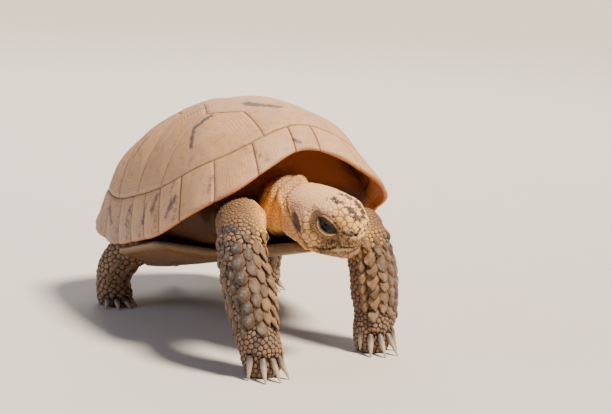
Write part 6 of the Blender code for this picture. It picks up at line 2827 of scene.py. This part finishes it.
@dataclass(frozen=True)
class Studio:
    """Camera, lights and floor."""

    azimuth: float = -30.947
    elevation: float = 10.703
    roll: float = 2.559
    lens: float = 97.991
    sensor: float = 36.0
    clip: tuple = (0.01, 20.0)
    distance: float = 560.0
    aim: tuple = (20.55, -0.9, 0.35)
    floor_size: float = 12000.0
    panel_distance: float = 0.9
    panel_lift: float = 0.04
    air: str = "e9e6e2"
    air_strength: float = 0.2
    lamps: tuple = (
        Lamp("key_sun", "SUN", 36.0, 58.0, 9.5, "fff0da", 14.0),
        Lamp("fill_panel", "AREA", -100.0, 20.0, 3.0, "cfdcff", 0.6),
        Lamp("back_panel", "AREA", 150.0, 40.0, 4.0, "fff4e6", 0.5),
    )

    def towards(self, azimuth: float, elevation: float) -> Vector:
        """Direction from the animal, in degrees round it from straight ahead and up."""
        a, e = math.radians(azimuth), math.radians(elevation)
        return Vector((math.sin(a) * math.cos(e), -math.cos(a) * math.cos(e), math.sin(e)))

    def camera(self, low: Vector, high: Vector) -> None:
        """Places the camera, aimed a little beside the middle of the solids' box.

        Args:
            low: the box's lowest corner.
            high: its highest corner.
        """
        back = self.towards(self.azimuth, self.elevation)
        a, turn = math.radians(self.azimuth), math.radians(self.roll)
        level = Vector((math.cos(a), math.sin(a), 0))
        right = level * math.cos(turn) + back.cross(level) * math.sin(turn)
        upward = back.cross(right)
        target = (low + high) / 2 + Vector(self.aim) * MM
        data = bpy.data.cameras.new("view")
        data.lens = self.lens
        data.sensor_width = self.sensor
        data.clip_start, data.clip_end = self.clip
        camera = linked("view", data)
        turned = Matrix((right, upward, back)).transposed().to_4x4()
        camera.matrix_world = Matrix.Translation(target + back * self.distance * MM) @ turned
        bpy.context.scene.camera = camera

    def light(self, lamp: Lamp) -> None:
        """Adds one lamp.

        Args:
            lamp: the lamp.
        """
        back = self.towards(lamp.azimuth, lamp.elevation)
        data = bpy.data.lights.new(lamp.name, lamp.kind)
        data.energy = lamp.power
        data.color = srgb(lamp.colour)[:3]
        made = linked(lamp.name, data)
        if lamp.kind == "SUN":
            data.angle = math.radians(lamp.size)
        else:
            data.size = lamp.size
            made.location = back * self.panel_distance + Vector((0, 0, self.panel_lift))
        made.rotation_mode = "QUATERNION"
        made.rotation_quaternion = back.to_track_quat("Z", "Y")

    def build(self, low: Vector, high: Vector, floor_finish: Finish) -> None:
        """Makes the camera, the lights, the world and the floor.

        Args:
            low: lowest corner of the solids' box.
            high: its highest corner.
            floor_finish: the floor's finish.
        """
        self.camera(low, high)
        for lamp in self.lamps:
            self.light(lamp)
        world = bpy.data.worlds.new("studio_air")
        world.use_nodes = True
        air = world.node_tree.nodes["Background"].inputs
        air["Color"].default_value = srgb(self.air)
        air["Strength"].default_value = self.air_strength
        bpy.context.scene.world = world
        half = self.floor_size / 2 * MM
        mesh = bpy.data.meshes.new("floor")
        corners = [(-half, -half, 0), (half, -half, 0), (half, half, 0), (-half, half, 0)]
        mesh.from_pydata(corners, [], [(0, 1, 2, 3)])
        mesh.materials.append(floor_finish)
        linked("floor", mesh)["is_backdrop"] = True


# ---------------------------------------------------------------- whole animal


def main() -> None:
    """Builds every piece in order."""
    logging.basicConfig(level=logging.INFO, format="%(message)s")
    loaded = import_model()
    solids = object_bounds()
    frame = Frame()
    face = Face(frame)
    Studio().build(*solids, FloorPlaster().build())
    pieces = Carapace(frame).build(ShellHorn().build(), ShellBone().build())
    LOG.info("upper shell: %d pieces", len(pieces))
    plastron = Plastron(frame).build(BellyHorn().build())
    LOG.info("belly plate: %d vertices", len(plastron.data.vertices))
    hide = Hide(frame, face).build(loaded["nodes"], HideLeather().build())
    LOG.info("hide: %d vertices, %d faces", len(hide.data.vertices), len(hide.data.polygons))
    eyes = Eyes(frame, face).build(EyeTissue().build())
    LOG.info("eyes: %d pieces", len(eyes))
    claws = Claws().build(loaded["nodes"], ClawHorn().build())
    LOG.info("claws and spurs: %d pieces", len(claws))
    skin = SkinMap(frame, face, hide)
    large, taken = LargeScales(skin).build(LargeScaleHorn().build())
    LOG.info("large scales: %d pieces", len(large))
    small = Coat(skin).build(SmallScale().build(), taken)
    LOG.info("small scales: %d pieces", len(small))


if __name__ == "__main__":
    main()
